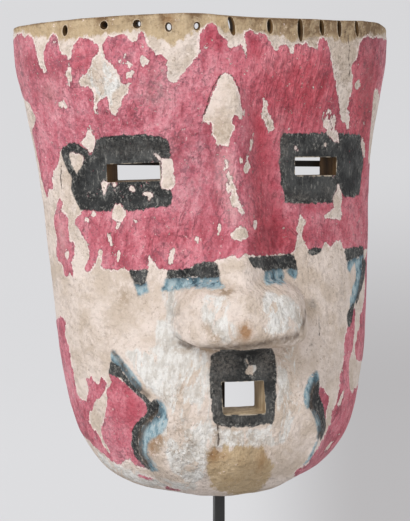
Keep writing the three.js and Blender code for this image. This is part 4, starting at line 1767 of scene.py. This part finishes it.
@dataclass(frozen=True)
class PaintedSkin:
    """Old paint over white ground on carved wood, worn through in places, with some painted shade and
    painted highlight.
    """

    groups: EffectGroups
    ground: Colour = colour(226, 211, 200)
    ground_dark: Colour = colour(204, 187, 171)
    speck: Colour = colour(142, 122, 102)
    flaw: Colour = colour(122, 112, 99)
    tan: Colour = colour(158, 136, 112)
    white: Colour = colour(229, 226, 221)
    white_dull: Colour = colour(204, 198, 190)
    pink: Colour = colour(203, 115, 128)
    pink_light: Colour = colour(222, 150, 159)
    pink_dark: Colour = colour(170, 80, 93)
    mauve: Colour = colour(136, 84, 96)
    deepening_and_shade: Colour = (0.94, 0.46, 0.49, 1.0)
    soil_and_shade: Colour = (0.62, 0.64, 0.68, 1.0)
    red: Colour = colour(176, 58, 76)
    pale_tone_and_highlight: Colour = colour(238, 218, 211)
    blue_light: Colour = colour(170, 189, 194)
    blue: Colour = colour(120, 149, 160)
    blue_dark: Colour = colour(66, 88, 98)
    black: Colour = colour(33, 34, 34)
    black_worn: Colour = colour(68, 69, 68)
    dust: Colour = colour(152, 149, 142)
    chip: Colour = colour(216, 200, 176)
    wood: Colour = colour(199, 177, 145)
    wood_dark: Colour = colour(178, 153, 118)
    wood_darkening: Colour = colour(104, 76, 48)
    ochre: Colour = colour(150, 106, 60)
    grey: Colour = colour(120, 114, 107)
    gap: Colour = colour(74, 58, 48)
    corner_shade_tone: Colour = colour(84, 68, 54)
    gloss: float = 0.3

    def _layer(self, g: Graph, layer: Layer, raggedness: float, softness: float) -> dict[str, NodeSocket]:
        """Broken mask of one paint layer, and its edge."""
        shape = {"Raggedness": raggedness, "Softness": softness}
        return g.group(self.groups.ragged, Distance=g.attribute(layer), **shape)

    def _ground(self, g: Graph) -> Any:
        """Colour of the bare ground, with its stains, painted shade under the nose, specks, and thin white
        paint that is painted light on the chin's underside.

        Args:
            g: Tree that takes the nodes.

        Returns:
            The colour.
        """
        cloud = g.noise(46, 6, 0.66, 0.3)
        base = g.blend(g.ramp(cloud, 0.38, 0.6), self.ground_dark, self.ground)
        where = g.ramp(g.noise(60, 4, 0.6), 0.42, 0.62)
        specks = g.ramp(g.noise(560, 3, 0.7), 0.56, 0.66)
        base = g.blend(g.times(g.times(specks, where), 0.6), base, self.speck)
        # White paint; on the chin's underside it is painted light.
        white = self._layer(g, Layer.WHITE, 1.0, 1.2)["Mask"]
        brushed = g.stretched(2.6, 0.1)
        thin = g.ramp(g.noise(75, 6, 0.74, 0.6, vector=brushed), 0.43, 0.49)
        tone = g.blend(g.ramp(g.noise(260, 5, 0.72, vector=brushed), 0.4, 0.58), self.white_dull, self.white)
        base = g.blend(g.times(white, thin), base, tone)
        # Stains, and painted shade under the nose.
        broken = g.ramp(g.noise(260, 5, 0.75), 0.4, 0.56)
        stain = g.times(g.attribute(Layer.STAIN_AND_SHADE), broken, clamp=True)
        base = g.blend(g.times(stain, 0.85), base, self.tan)
        flaked = g.times(g.ramp(g.noise(460, 5, 0.76, 0.5), 0.53, 0.59), g.attribute(Layer.RIDGE))
        base = g.blend(g.times(flaked, 0.55, clamp=True), base, self.flaw)
        drawn = g.stretched(1.6)
        cracks = g.group(self.groups.wrinkles, Vector=drawn, Scale=150.0, Width=0.02)
        rough = g.times_plus(g.attribute(Layer.RIDGE), 0.8, 0.35)
        return g.blend(g.times(cracks["Mask"], rough, clamp=True), base, self.speck)

    def _pink(self, g: Graph, creases: Any, strokes: Any) -> Any:
        """Colour of the pink paint, mottled, streaked by the brush with painted highlight on its ridges and
        painted shade between them, and darker in its creases.

        Args:
            g: Tree that takes the nodes.
            creases: Mask of the fine creases.
            strokes: Pattern of the brush.

        Returns:
            The colour.
        """
        broad = g.noise(28, 4, 0.6, 0.6)
        middle = g.noise(150, 4, 0.64, 0.5, vector=g.stretched(1.8, 0.12))
        fine = g.noise(560, 3, 0.65)
        both = g.times_plus(broad, 0.42, g.times(middle, 0.36))
        both = g.times_plus(fine, 0.22, both)
        base = g.tones(both, ((0.42, self.pink_dark), (0.495, self.pink), (0.58, self.pink_light)))
        where = g.ramp(g.noise(40, 4, 0.6, 0.5), 0.42, 0.62)
        patches = g.ramp(g.noise(210, 5, 0.74, 0.4), 0.48, 0.64)
        base = g.blend(g.times(g.times(patches, where), 0.75), base, self.mauve)
        # Painted highlight on the crests of the brush ridges and painted shade in their troughs.
        ridges = g.times(g.attribute(Layer.RIDGE), 0.9, clamp=True)
        trough_shade = g.times(g.ramp(strokes, 0.5, 0.4), ridges)
        base = g.blend(g.times(trough_shade, 0.55), base, self.pink_dark)
        crest_highlight = g.times(g.ramp(strokes, 0.54, 0.66), ridges)
        base = g.blend(g.times(crest_highlight, 0.5), base, self.pink_light)
        light = g.ramp(g.noise(520, 3, 0.7), 0.64, 0.71, 0, 0.7)
        base = g.blend(light, base, self.pale_tone_and_highlight)
        pits = g.ramp(g.noise(600, 4, 0.75), 0.44, 0.37, 0, 0.65)
        base = g.blend(pits, base, self.mauve)
        base = g.blend(g.times(creases, 0.5), base, self.mauve)
        # Deep red, and painted shade in the hollows beside the nose and the muzzle.
        deep = self._layer(g, Layer.DEEP, 0.8, 4.0)["Mask"]
        base = g.blend(g.times(deep, 0.6), base, self.red)
        # Stain marks on the pink: painted shade to the right of the nose, soiling elsewhere.
        soiled_and_shaded = g.times(g.attribute(Layer.STAIN_AND_SHADE), g.ramp(g.noise(110, 5, 0.7), 0.36, 0.56, 0.5, 1.0))
        base = g.blend(g.times(soiled_and_shaded, 0.7, clamp=True), base, self.soil_and_shade, "MULTIPLY")
        # Darker pink, partly painted shade beside and below the nose's right side; a negative share pales
        # it.
        depth = g.attribute(Layer.DEEP_PINK)
        base = g.blend(g.times(depth, -0.5, clamp=True), base, self.pale_tone_and_highlight)
        return g.blend(g.times(depth, 0.8, clamp=True), base, self.deepening_and_shade, "MULTIPLY")

    def _blue(self, g: Graph) -> Any:
        """Colour of the blue paint, darker where it runs into the black.

        Args:
            g: Tree that takes the nodes.

        Returns:
            The colour.
        """
        tone = g.noise(230, 5, 0.66, vector=g.stretched(1.8))
        stops = ((0.38, self.blue_dark), (0.47, self.blue), (0.6, self.blue_light))
        near = g.ramp(g.attribute(Layer.BLACK), -3.8, 0.5, 0, 0.75)
        return g.blend(near, g.tones(tone, stops), self.blue_dark)

    def _black(self, g: Graph) -> Any:
        """Colour of the black paint, greyed by dust and rubbing and scratched upwards.

        Args:
            g: Tree that takes the nodes.

        Returns:
            The colour.
        """
        broad = g.noise(70, 5, 0.68, 0.3)
        base = g.blend(g.ramp(broad, 0.42, 0.62), self.black, self.black_worn)
        drawn = g.stretched(3.2, 0.05)
        grains = g.ramp(g.noise(640, 4, 0.75, vector=drawn), 0.54, 0.66)
        base = g.blend(g.times(grains, g.ramp(broad, 0.42, 0.6, 0.12, 0.6)), base, self.dust)
        rims = g.ramp(g.attribute(Layer.BLACK), 5.0, 0.5, 0, 0.7)
        rubbed = g.times(g.ramp(g.noise(560, 4, 0.78), 0.53, 0.6), rims)
        base = g.blend(rubbed, base, self.dust)
        dusty = g.times(g.attribute(Layer.SCUFF), g.ramp(g.noise(620, 4, 0.75), 0.38, 0.62))
        base = g.blend(g.times(dusty, 0.75, clamp=True), base, self.grey)
        edge = g.times(g.attribute(Layer.CHIP), g.ramp(g.noise(210, 3, 0.6), 0.42, 0.56))
        return g.blend(g.times(edge, 0.9, clamp=True), base, self.chip)

    def _band(self, g: Graph) -> tuple[Any, Any]:
        """Colour and height of the bare wood, darker in its stains, in painted shade towards its right end,
        and towards the top edge.

        Args:
            g: Tree that takes the nodes.

        Returns:
            The colour and the height.
        """
        grain = g.group(self.groups.grain, Light=self.wood, Dark=self.wood_dark, Scale=1.0)
        specks = g.ramp(g.noise(480, 4, 0.7), 0.54, 0.68, 0, 0.4)
        base = g.blend(specks, grain["Color"], self.wood_darkening)
        uneven = g.ramp(g.noise(190, 5, 0.72), 0.4, 0.58, 0.35, 1.0)
        # Stains, and painted shade at the band's right end; below, darker towards the top edge.
        stain = g.times(g.attribute(Layer.STAIN_AND_SHADE), uneven, clamp=True)
        base = g.blend(g.times(stain, 0.8), base, self.wood_darkening)
        top = g.times(g.ramp(g.attribute(Layer.TOP), -2.6, -0.6, 0, 0.75), uneven)
        base = g.blend(top, base, self.wood_darkening)
        worn = g.times(g.attribute(Layer.CHIP), 0.7)
        return g.blend(worn, base, self.chip), grain["Height"]

    def build(self) -> Material:
        """Makes the material.

        Returns:
            The material.
        """
        material, g, shader = new_material("painted_skin")
        drawn = g.stretched(1.9, 0.2)
        creases = g.group(self.groups.wrinkles, Vector=drawn, Scale=125.0, Width=0.026)["Mask"]
        strokes = g.noise(300, 3, 0.6, 0.3, vector=g.stretched(7, 0.16))
        now = self._ground(g)
        wood = self._layer(g, Layer.WOOD, 1.5, 1.2)["Mask"]
        band, fibres = self._band(g)
        now = g.blend(wood, now, band)
        rusty = g.ramp(g.noise(300, 4, 0.6), 0.3, 0.55, 0.4, 1.0)
        ochre = g.times(g.attribute(Layer.OCHRE), rusty, clamp=True)
        now = g.blend(g.times(ochre, 0.85), now, self.ochre)
        pink = self._layer(g, Layer.PINK, 0.95, 0.14)
        flecks = g.times_plus(g.attribute(Layer.RIDGE), 0.012, g.noise(300, 5, 0.75, 0.3))
        flecks = g.ramp(flecks, 0.67, 0.64)
        pink_mask = g.times(pink["Mask"], flecks)
        # Painted highlight: a pale line round the pink's broken edges, partly pale ground and partly the
        # light the thick paint's edge would catch.
        rim = g.math("MAXIMUM", pink["Edge"], g.minus(1.0, flecks))
        edge = g.times(rim, g.minus(1.0, pink_mask))
        edge = g.times(edge, g.ramp(g.noise(180, 3, 0.6), 0.36, 0.56, 0.3, 0.95))
        now = g.blend(edge, now, self.pale_tone_and_highlight)
        now = g.blend(pink_mask, now, self._pink(g, creases, strokes))
        blue = self._layer(g, Layer.BLUE, 0.6, 1.0)["Mask"]
        worn = g.ramp(g.noise(300, 5, 0.72), 0.66, 0.58)
        now = g.blend(g.times(blue, worn), now, self._blue(g))
        black = self._layer(g, Layer.BLACK, 0.7, 0.45)["Mask"]
        chips = g.ramp(g.noise(420, 5, 0.75), 0.7, 0.66)
        black = g.times(black, chips)
        now = g.blend(black, now, self._black(g))
        scuff = g.times(g.attribute(Layer.SCUFF), g.ramp(g.noise(240, 5, 0.72), 0.4, 0.56))
        scuff = g.times(scuff, g.times_plus(black, -0.8, 0.8), clamp=True)
        now = g.blend(scuff, now, self.grey)
        # Dark cracks, and painted shadow along the paint's edge round the top of the nose loss; the gap
        # colour is their dark tone.
        line = g.times(g.attribute(Layer.CRACK_AND_EDGE_SHADE), 0.7)
        split = g.ramp(g.plus(line, g.noise(420, 3, 0.6)), 0.06, 0.36)
        now = g.blend(g.times(split, 0.85), now, self.gap)
        # Painted shade: a brownish dark line in the corner under the nose and in the grooves along the
        # muzzle.
        corner = g.ramp(g.attribute(Layer.CREASE), -2.8, 0.2, 0, 0.8)
        corner = g.times(corner, g.ramp(g.noise(150, 4, 0.6), 0.35, 0.55, 0.45, 1.0))
        now = g.blend(corner, now, self.corner_shade_tone)
        paint = g.math("MAXIMUM", g.math("MAXIMUM", pink_mask, g.times(blue, 0.5)), black)
        height = g.times(g.minus(1.0, wood), 0.35)
        height = g.times_plus(paint, 0.16, height)
        height = g.times_plus(g.noise(230, 4, 0.6), 2.7, height)
        height = g.times_plus(g.noise(80, 3, 0.55), 3.4, height)
        rough = g.times_plus(g.attribute(Layer.RIDGE), 4.0, 0.5)
        height = g.times_plus(strokes, g.times(rough, paint), height)
        height = g.times_plus(g.times(creases, paint), -0.4, height)
        height = g.times_plus(fibres, g.times(wood, 0.5), height)
        height = g.times_plus(split, -0.6, height)
        roughness = g.ramp(paint, 0.0, 1.0, 0.78, 0.6)
        g.fill(shader, {"Base Color": now, "Roughness": roughness, "Normal": g.bump(height)})
        g.fill(shader, {"Specular IOR Level": self.gloss})
        return material


@dataclass(frozen=True)
class RawWood:
    """Bare carved wood, as in the hollow and on the walls of the openings."""

    groups: EffectGroups
    name: str
    light: Colour
    dark: Colour
    relief: float = 0.6
    gloss: float = 0.3

    def build(self) -> Material:
        """Makes the material.

        Returns:
            The material.
        """
        material, g, shader = new_material(self.name)
        grain = g.group(self.groups.grain, Light=self.light, Dark=self.dark, Scale=0.8)
        grime = g.group(self.groups.grime, Amount=0.5)["Mask"]
        tone = g.blend(grime, grain["Color"], self.dark)
        height = g.plus(g.times(grain["Height"], self.relief), g.times(g.noise(180, 4, 0.6), 0.4))
        roughness = g.ramp(grime, 0.0, 1.0, 0.72, 0.88)
        g.fill(shader, {"Base Color": tone, "Roughness": roughness, "Normal": g.bump(height)})
        g.fill(shader, {"Specular IOR Level": self.gloss})
        return material


@dataclass(frozen=True)
class BlackSteel:
    """Blackened steel with a fine satin texture and a little dust."""

    groups: EffectGroups
    tone: Colour = colour(60, 60, 61)
    worn: Colour = colour(78, 78, 78)
    metallic: float = 0.55
    relief: float = 0.12

    def build(self) -> Material:
        """Makes the material.

        Returns:
            The material.
        """
        material, g, shader = new_material("black_steel")
        fine = g.noise(1400, 3, 0.6)
        broad = g.noise(60, 5, 0.65)
        grime = g.group(self.groups.grime, Amount=0.35)["Mask"]
        tone = g.blend(g.ramp(broad, 0.45, 0.7, 0, 0.4), self.tone, self.worn)
        roughness = g.ramp(broad, 0.3, 0.7, 0.38, 0.56)
        g.fill(shader, {"Base Color": g.blend(grime, tone, self.worn), "Roughness": roughness})
        g.fill(shader, {"Metallic": self.metallic, "Normal": g.bump(g.times(fine, self.relief))})
        return material


@dataclass(frozen=True)
class StudioPaper:
    """Plain pale paper of the studio, lit a little from within so that it stays even."""

    base: Colour = colour(46, 46, 47)
    drift: Colour = colour(43, 43, 44)
    tone: Colour = colour(214, 214, 216)
    shade: Colour = colour(178, 176, 177)
    glow: float = 1.015
    roughness: float = 0.95
    gloss: float = 0.1
    turn: float = VIEW_TURN
    width: float = 0.117
    widening: float = 0.0745
    least_width: float = 0.1
    low_span: Span = (0.42, -0.02)
    low_shares: Span = (0.08, 1.0)
    far_span: Span = (-0.4, 0.6)
    aside_span: Span = (0.05, 0.8)

    def build(self) -> Material:
        """Makes the material; painted shade darkens its glow low down and to the right of the line of sight,
        standing in for a shadow.

        Returns:
            The material.
        """
        material, g, shader = new_material("studio_paper")
        at = g.split(g.here)
        # Painted shade: the glow is darkened low down, behind and to the right of the line of sight,
        # standing in for a shadow.
        aside = g.times_plus(at["Y"], -math.sin(self.turn), g.times(at["X"], math.cos(self.turn)))
        width = g.math("MAXIMUM", g.times_plus(at["Y"], self.widening, self.width), self.least_width)
        low = g.ramp(at["Z"], *self.low_span, *self.low_shares)
        behind = g.ramp(at["Y"], *self.far_span)
        share = g.times(g.ramp(g.math("DIVIDE", aside, width), *self.aside_span), g.times(low, behind))
        cloud = g.ramp(g.noise(0.6, 2, 0.5), 0.3, 0.7)
        g.fill(shader, {"Base Color": g.blend(cloud, self.base, self.drift), "Roughness": self.roughness})
        g.fill(shader, {"Emission Color": g.blend(share, self.tone, self.shade)})
        g.fill(shader, {"Emission Strength": self.glow, "Specular IOR Level": self.gloss})
        return material


@dataclass
class MaskCarving:
    """The carved, hollowed and painted mask."""

    groups: EffectGroups
    lens: Lens
    skin: FineSkin = field(default_factory=FineSkin)
    openings: Openings = field(default_factory=Openings)
    placement: Placement = field(default_factory=Placement)
    knife_marks: tuple[Unevenness, ...] = (
        Unevenness(0.55, 17, 11),
        Unevenness(0.3, 7, 12),
        Unevenness(0.16, 3, 13),
    )
    knife_depth: float = 0.9
    ground_depth: float = 0.3
    paint_depth: float = 0.2
    step_half: float = 0.8
    hollow_columns: int = 110
    hollow_rows: int = 96
    gouge: float = 0.7
    gouge_width: float = 9
    gouge_length: float = 0.4
    lane_wander: Unevenness = Unevenness(0.8, 24, 21)
    stroke_wander: Unevenness = Unevenness(0.5, 9, 22)
    scallop_wander: Unevenness = Unevenness(0.8, 8, 23)
    hollow_radius: float = 80
    hollow_fade: float = 10
    sharp_from: float = math.radians(38)

    def _weather(self, rows: Array, u: Array, v: Array, paint: Paint) -> Array:
        """Moves the skin in by the unevenness of the carving and the thickness of what is worn off.

        Args:
            rows: Points of the skin.
            u: Paint coordinate across.
            v: Paint coordinate up.
            paint: The paint layers.

        Returns:
            The moved points.
        """
        knife = sum(mark.at(u, v) for mark in self.knife_marks)
        bare = ease(paint[Layer.WOOD].reshape(u.shape), -self.step_half, self.step_half)
        painted = np.maximum(paint[Layer.PINK], np.maximum(paint[Layer.BLACK], paint[Layer.BLUE]))
        thin = 1 - ease(painted.reshape(u.shape), -self.step_half, self.step_half)
        depth = self.knife_depth * (knife - 0.5) + self.ground_depth * bare + self.paint_depth * thin
        return rows - normals_of(rows) * depth[..., None]

    def _hollow(self) -> Object:
        """The hollow as a cutter, scalloped by the gouge.

        Returns:
            The cutter.
        """
        z = np.linspace(HOLLOW.stations[1].z, HOLLOW.stations[-1].z, self.hollow_rows)
        turn = np.linspace(-math.pi / 2, math.pi / 2, self.hollow_columns)
        rows = HOLLOW.section(z[:, None], turn[None, :])
        u = np.broadcast_to(turn[None, :] * self.hollow_radius, rows.shape[:2])
        v = rows[..., 2]
        lane = u / self.gouge_width + self.lane_wander.at(u, v)
        stroke = np.abs(np.sin(math.pi * (lane + self.stroke_wander.at(u, v * self.gouge_length))))
        scallop = self.gouge * (stroke + self.scallop_wander.at(u, v))
        fade = ease(v, HOLLOW.stations[1].z, HOLLOW.stations[1].z + self.hollow_fade)
        rows = rows - normals_of(rows) * (scallop * fade)[..., None]
        lowest = HOLLOW.section(np.array([HOLLOW.stations[0].z]), np.array([0.0]))[0]
        return make_object("hollow", closed_skin(lowest, rows), Face.HOLLOW.value)

    def _mend_edges(self, made: Object, paint: Paint, grid: Array) -> None:
        """Gives the vertices on cut edges the paint of the nearest skin.

        Args:
            made: The cut mask.
            paint: The paint layers.
            grid: Points of the skin that they belong to.
        """
        mesh = made.data
        loops = whole_numbers(mesh.loops, "vertex_index")
        kinds = whole_numbers(mesh.polygons, "material_index")
        loop_kind = np.repeat(kinds, whole_numbers(mesh.polygons, "loop_total"))
        on_skin = np.zeros(len(mesh.vertices), bool)
        on_cut = np.zeros(len(mesh.vertices), bool)
        on_skin[loops[loop_kind == Face.SKIN.value]] = True
        on_cut[loops[(loop_kind != Face.SKIN.value) & (loop_kind != Face.RIM.value)]] = True
        places = vertices_of(mesh)
        for index in np.flatnonzero(on_skin & on_cut):
            nearest = int(np.argmin(((grid - places[index]) ** 2).sum(axis=1)))
            for layer, values in paint.items():
                mesh.attributes[layer.value].data[int(index)].value = float(values[nearest])
            mesh.attributes[Layer.CHIP.value].data[int(index)].value = 1.0

    def build(self) -> Object:
        """Builds the mask, cuts it, paints it and hangs it in place.

        Returns:
            The mask.
        """
        rows, u, v = self.skin.grid()
        paint_map = PaintMap(rows, u, v, self.lens, self.placement)
        paint = paint_map.layers()
        rows = self._weather(rows, u, v, paint)
        lowest = OUTSIDE.section(np.array([0.0]), np.array([0.0]))[0]
        made = make_object("mask_carving", closed_skin(lowest, rows), Face.SKIN.value)
        values = {layer: np.concatenate([[-paint_map.far], found]) for layer, found in paint.items()}
        for layer, found in values.items():
            attribute = made.data.attributes.new(layer.value, "FLOAT", "POINT")
            attribute.data.foreach_set("value", found.astype(np.float32))
        grid = vertices_of(made.data)
        finishes = self._finishes()
        for finish in finishes:
            made.data.materials.append(finish)
        for cutter in [self._hollow(), *self.openings.eye_cutters(), self.openings.mouth_cutter()]:
            subtract(made, cutter)
        subtract(made, self.openings.hole_cutters(finishes[Face.OPENING.value]))
        subtract(made, self.openings.bar_cutter(self.placement))
        self._mend_edges(made, values, grid)
        made.data.transform(self.placement.matrix())
        made.data.set_sharp_from_angle(angle=self.sharp_from)
        made.data.update()
        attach(made, BODY)
        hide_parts("mask")
        return made

    def _finishes(self) -> list[Material]:
        """Materials in the order of the kinds of surface.

        Returns:
            The materials.
        """
        hollow = RawWood(self.groups, "hollow_wood", colour(140, 110, 78), colour(88, 64, 42))
        # Painted shade: the walls of the eye slots and cord holes are dark stained wood, darkened further
        # for the shade deep inside the holes.
        opening = RawWood(self.groups, "opening_wood_and_depth_shade", colour(122, 92, 56), colour(54, 37, 19), 0.4)
        mouth = RawWood(self.groups, "mouth_wood", colour(206, 186, 152), colour(128, 104, 74), 0.4)
        rim = RawWood(self.groups, "rim_wood", colour(178, 150, 112), colour(112, 84, 54))
        return [finish.build() for finish in (PaintedSkin(self.groups), hollow, opening, mouth, rim)]


@dataclass
class Stand:
    """The steel foot, and the square rod with its cross bar."""

    groups: EffectGroups

    def build(self) -> list[Object]:
        """Dresses the solids of the stand.

        Returns:
            The rod and the foot.
        """
        steel = BlackSteel(self.groups).build()
        made = []
        for name in ("stand_rod", "stand_foot"):
            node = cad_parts[name]
            node.data.materials.clear()
            node.data.materials.append(steel)
            made.append(node)
        return made


class Lamp(NamedTuple):
    """One soft square light: its place, the length of its side, its power and its colour."""

    name: str
    place: Triple
    side: float
    power: float
    tone: Triple = (1, 1, 1)


@dataclass
class Studio:
    """Pale floor that curves up all round, soft lights and sky."""

    lamps: tuple[Lamp, ...] = (
        Lamp("key", (-0.86, -1.0, 1.0), 0.7, 12.5),
        Lamp("fill", (1.1, -1.0, 0.4), 1.0, 1.6, (1, 0.99, 0.98)),
        Lamp("low", (-0.7, -0.5, 0.03), 0.4, 1.1),
        Lamp("back", (0.3, 1.6, 1.2), 1.2, 4.0),
    )
    aim: Triple = (0, -0.05, 0.22)
    sky: Colour = (0.8, 0.8, 0.82, 1)
    sky_strength: float = 0.4
    floor_radius: float = 2.4
    curve: float = 2.6
    wall: float = 3.0
    steps: int = 24
    sides: int = 96

    def _floor(self) -> Object:
        """Bowl-shaped floor, flat under the object.

        Returns:
            The floor.
        """
        profile = [(0.0, 0.0), (self.floor_radius * 0.5, 0.0), (self.floor_radius, 0.0)]
        for k in range(1, self.steps + 1):
            angle = math.pi / 2 * k / self.steps
            out, up = self.curve * math.sin(angle), self.curve * (1 - math.cos(angle))
            profile.append((self.floor_radius + out, up))
        profile.append((self.floor_radius + self.curve, self.curve + self.wall))
        points = [(0.0, 0.0, 0.0)]
        for radius, height in profile[1:]:
            for k in range(self.sides):
                a = 2 * math.pi * k / self.sides
                points.append((radius * math.cos(a), radius * math.sin(a), height))
        faces: list[tuple[int, ...]] = [(0, 1 + k, 1 + (k + 1) % self.sides) for k in range(self.sides)]
        for ring in range(len(profile) - 2):
            low, high = 1 + ring * self.sides, 1 + (ring + 1) * self.sides
            for k in range(self.sides):
                after = (k + 1) % self.sides
                faces.append((low + k, high + k, high + after, low + after))
        floor = make_object("studio_floor", Shell(np.array(points), faces))
        floor.data.polygons.foreach_set("use_smooth", np.ones(len(floor.data.polygons), bool))
        floor.data.materials.append(StudioPaper().build())
        return floor

    def _light(self, lamp: Lamp) -> None:
        """Makes one light, which looks at the face.

        Args:
            lamp: The light.
        """
        data = bpy.data.lights.new(lamp.name, "AREA")
        data.size, data.energy, data.color = lamp.side, lamp.power, lamp.tone
        light = bpy.data.objects.new(lamp.name, data)
        turned = (Vector(self.aim) - Vector(lamp.place)).to_track_quat("-Z", "Y").to_matrix().to_4x4()
        light.matrix_world = Matrix.Translation(lamp.place) @ turned
        bpy.context.scene.collection.objects.link(light)

    def build(self) -> None:
        """Makes the floor, the lights and the sky."""
        self._floor()
        for lamp in self.lamps:
            self._light(lamp)
        world = bpy.data.worlds.new("sky")
        world.use_nodes = True
        background = world.node_tree.nodes["Background"]
        background.inputs["Color"].default_value = self.sky
        background.inputs["Strength"].default_value = self.sky_strength
        bpy.context.scene.world = world
        bpy.context.scene.view_settings.view_transform = "Standard"


def main() -> None:
    """Builds every piece in order and reports it."""
    logging.basicConfig(level=logging.INFO, format="%(message)s")
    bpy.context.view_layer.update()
    lens = Lens()
    groups = EffectGroups()
    mask = MaskCarving(groups, lens).build()
    LOG.info("%s: %d faces", mask.name, len(mask.data.polygons))
    for piece in Stand(groups).build():
        LOG.info("%s: %d faces", piece.name, len(piece.data.polygons))
    Studio().build()
    lens.build()


if __name__ == "__main__":
    main()
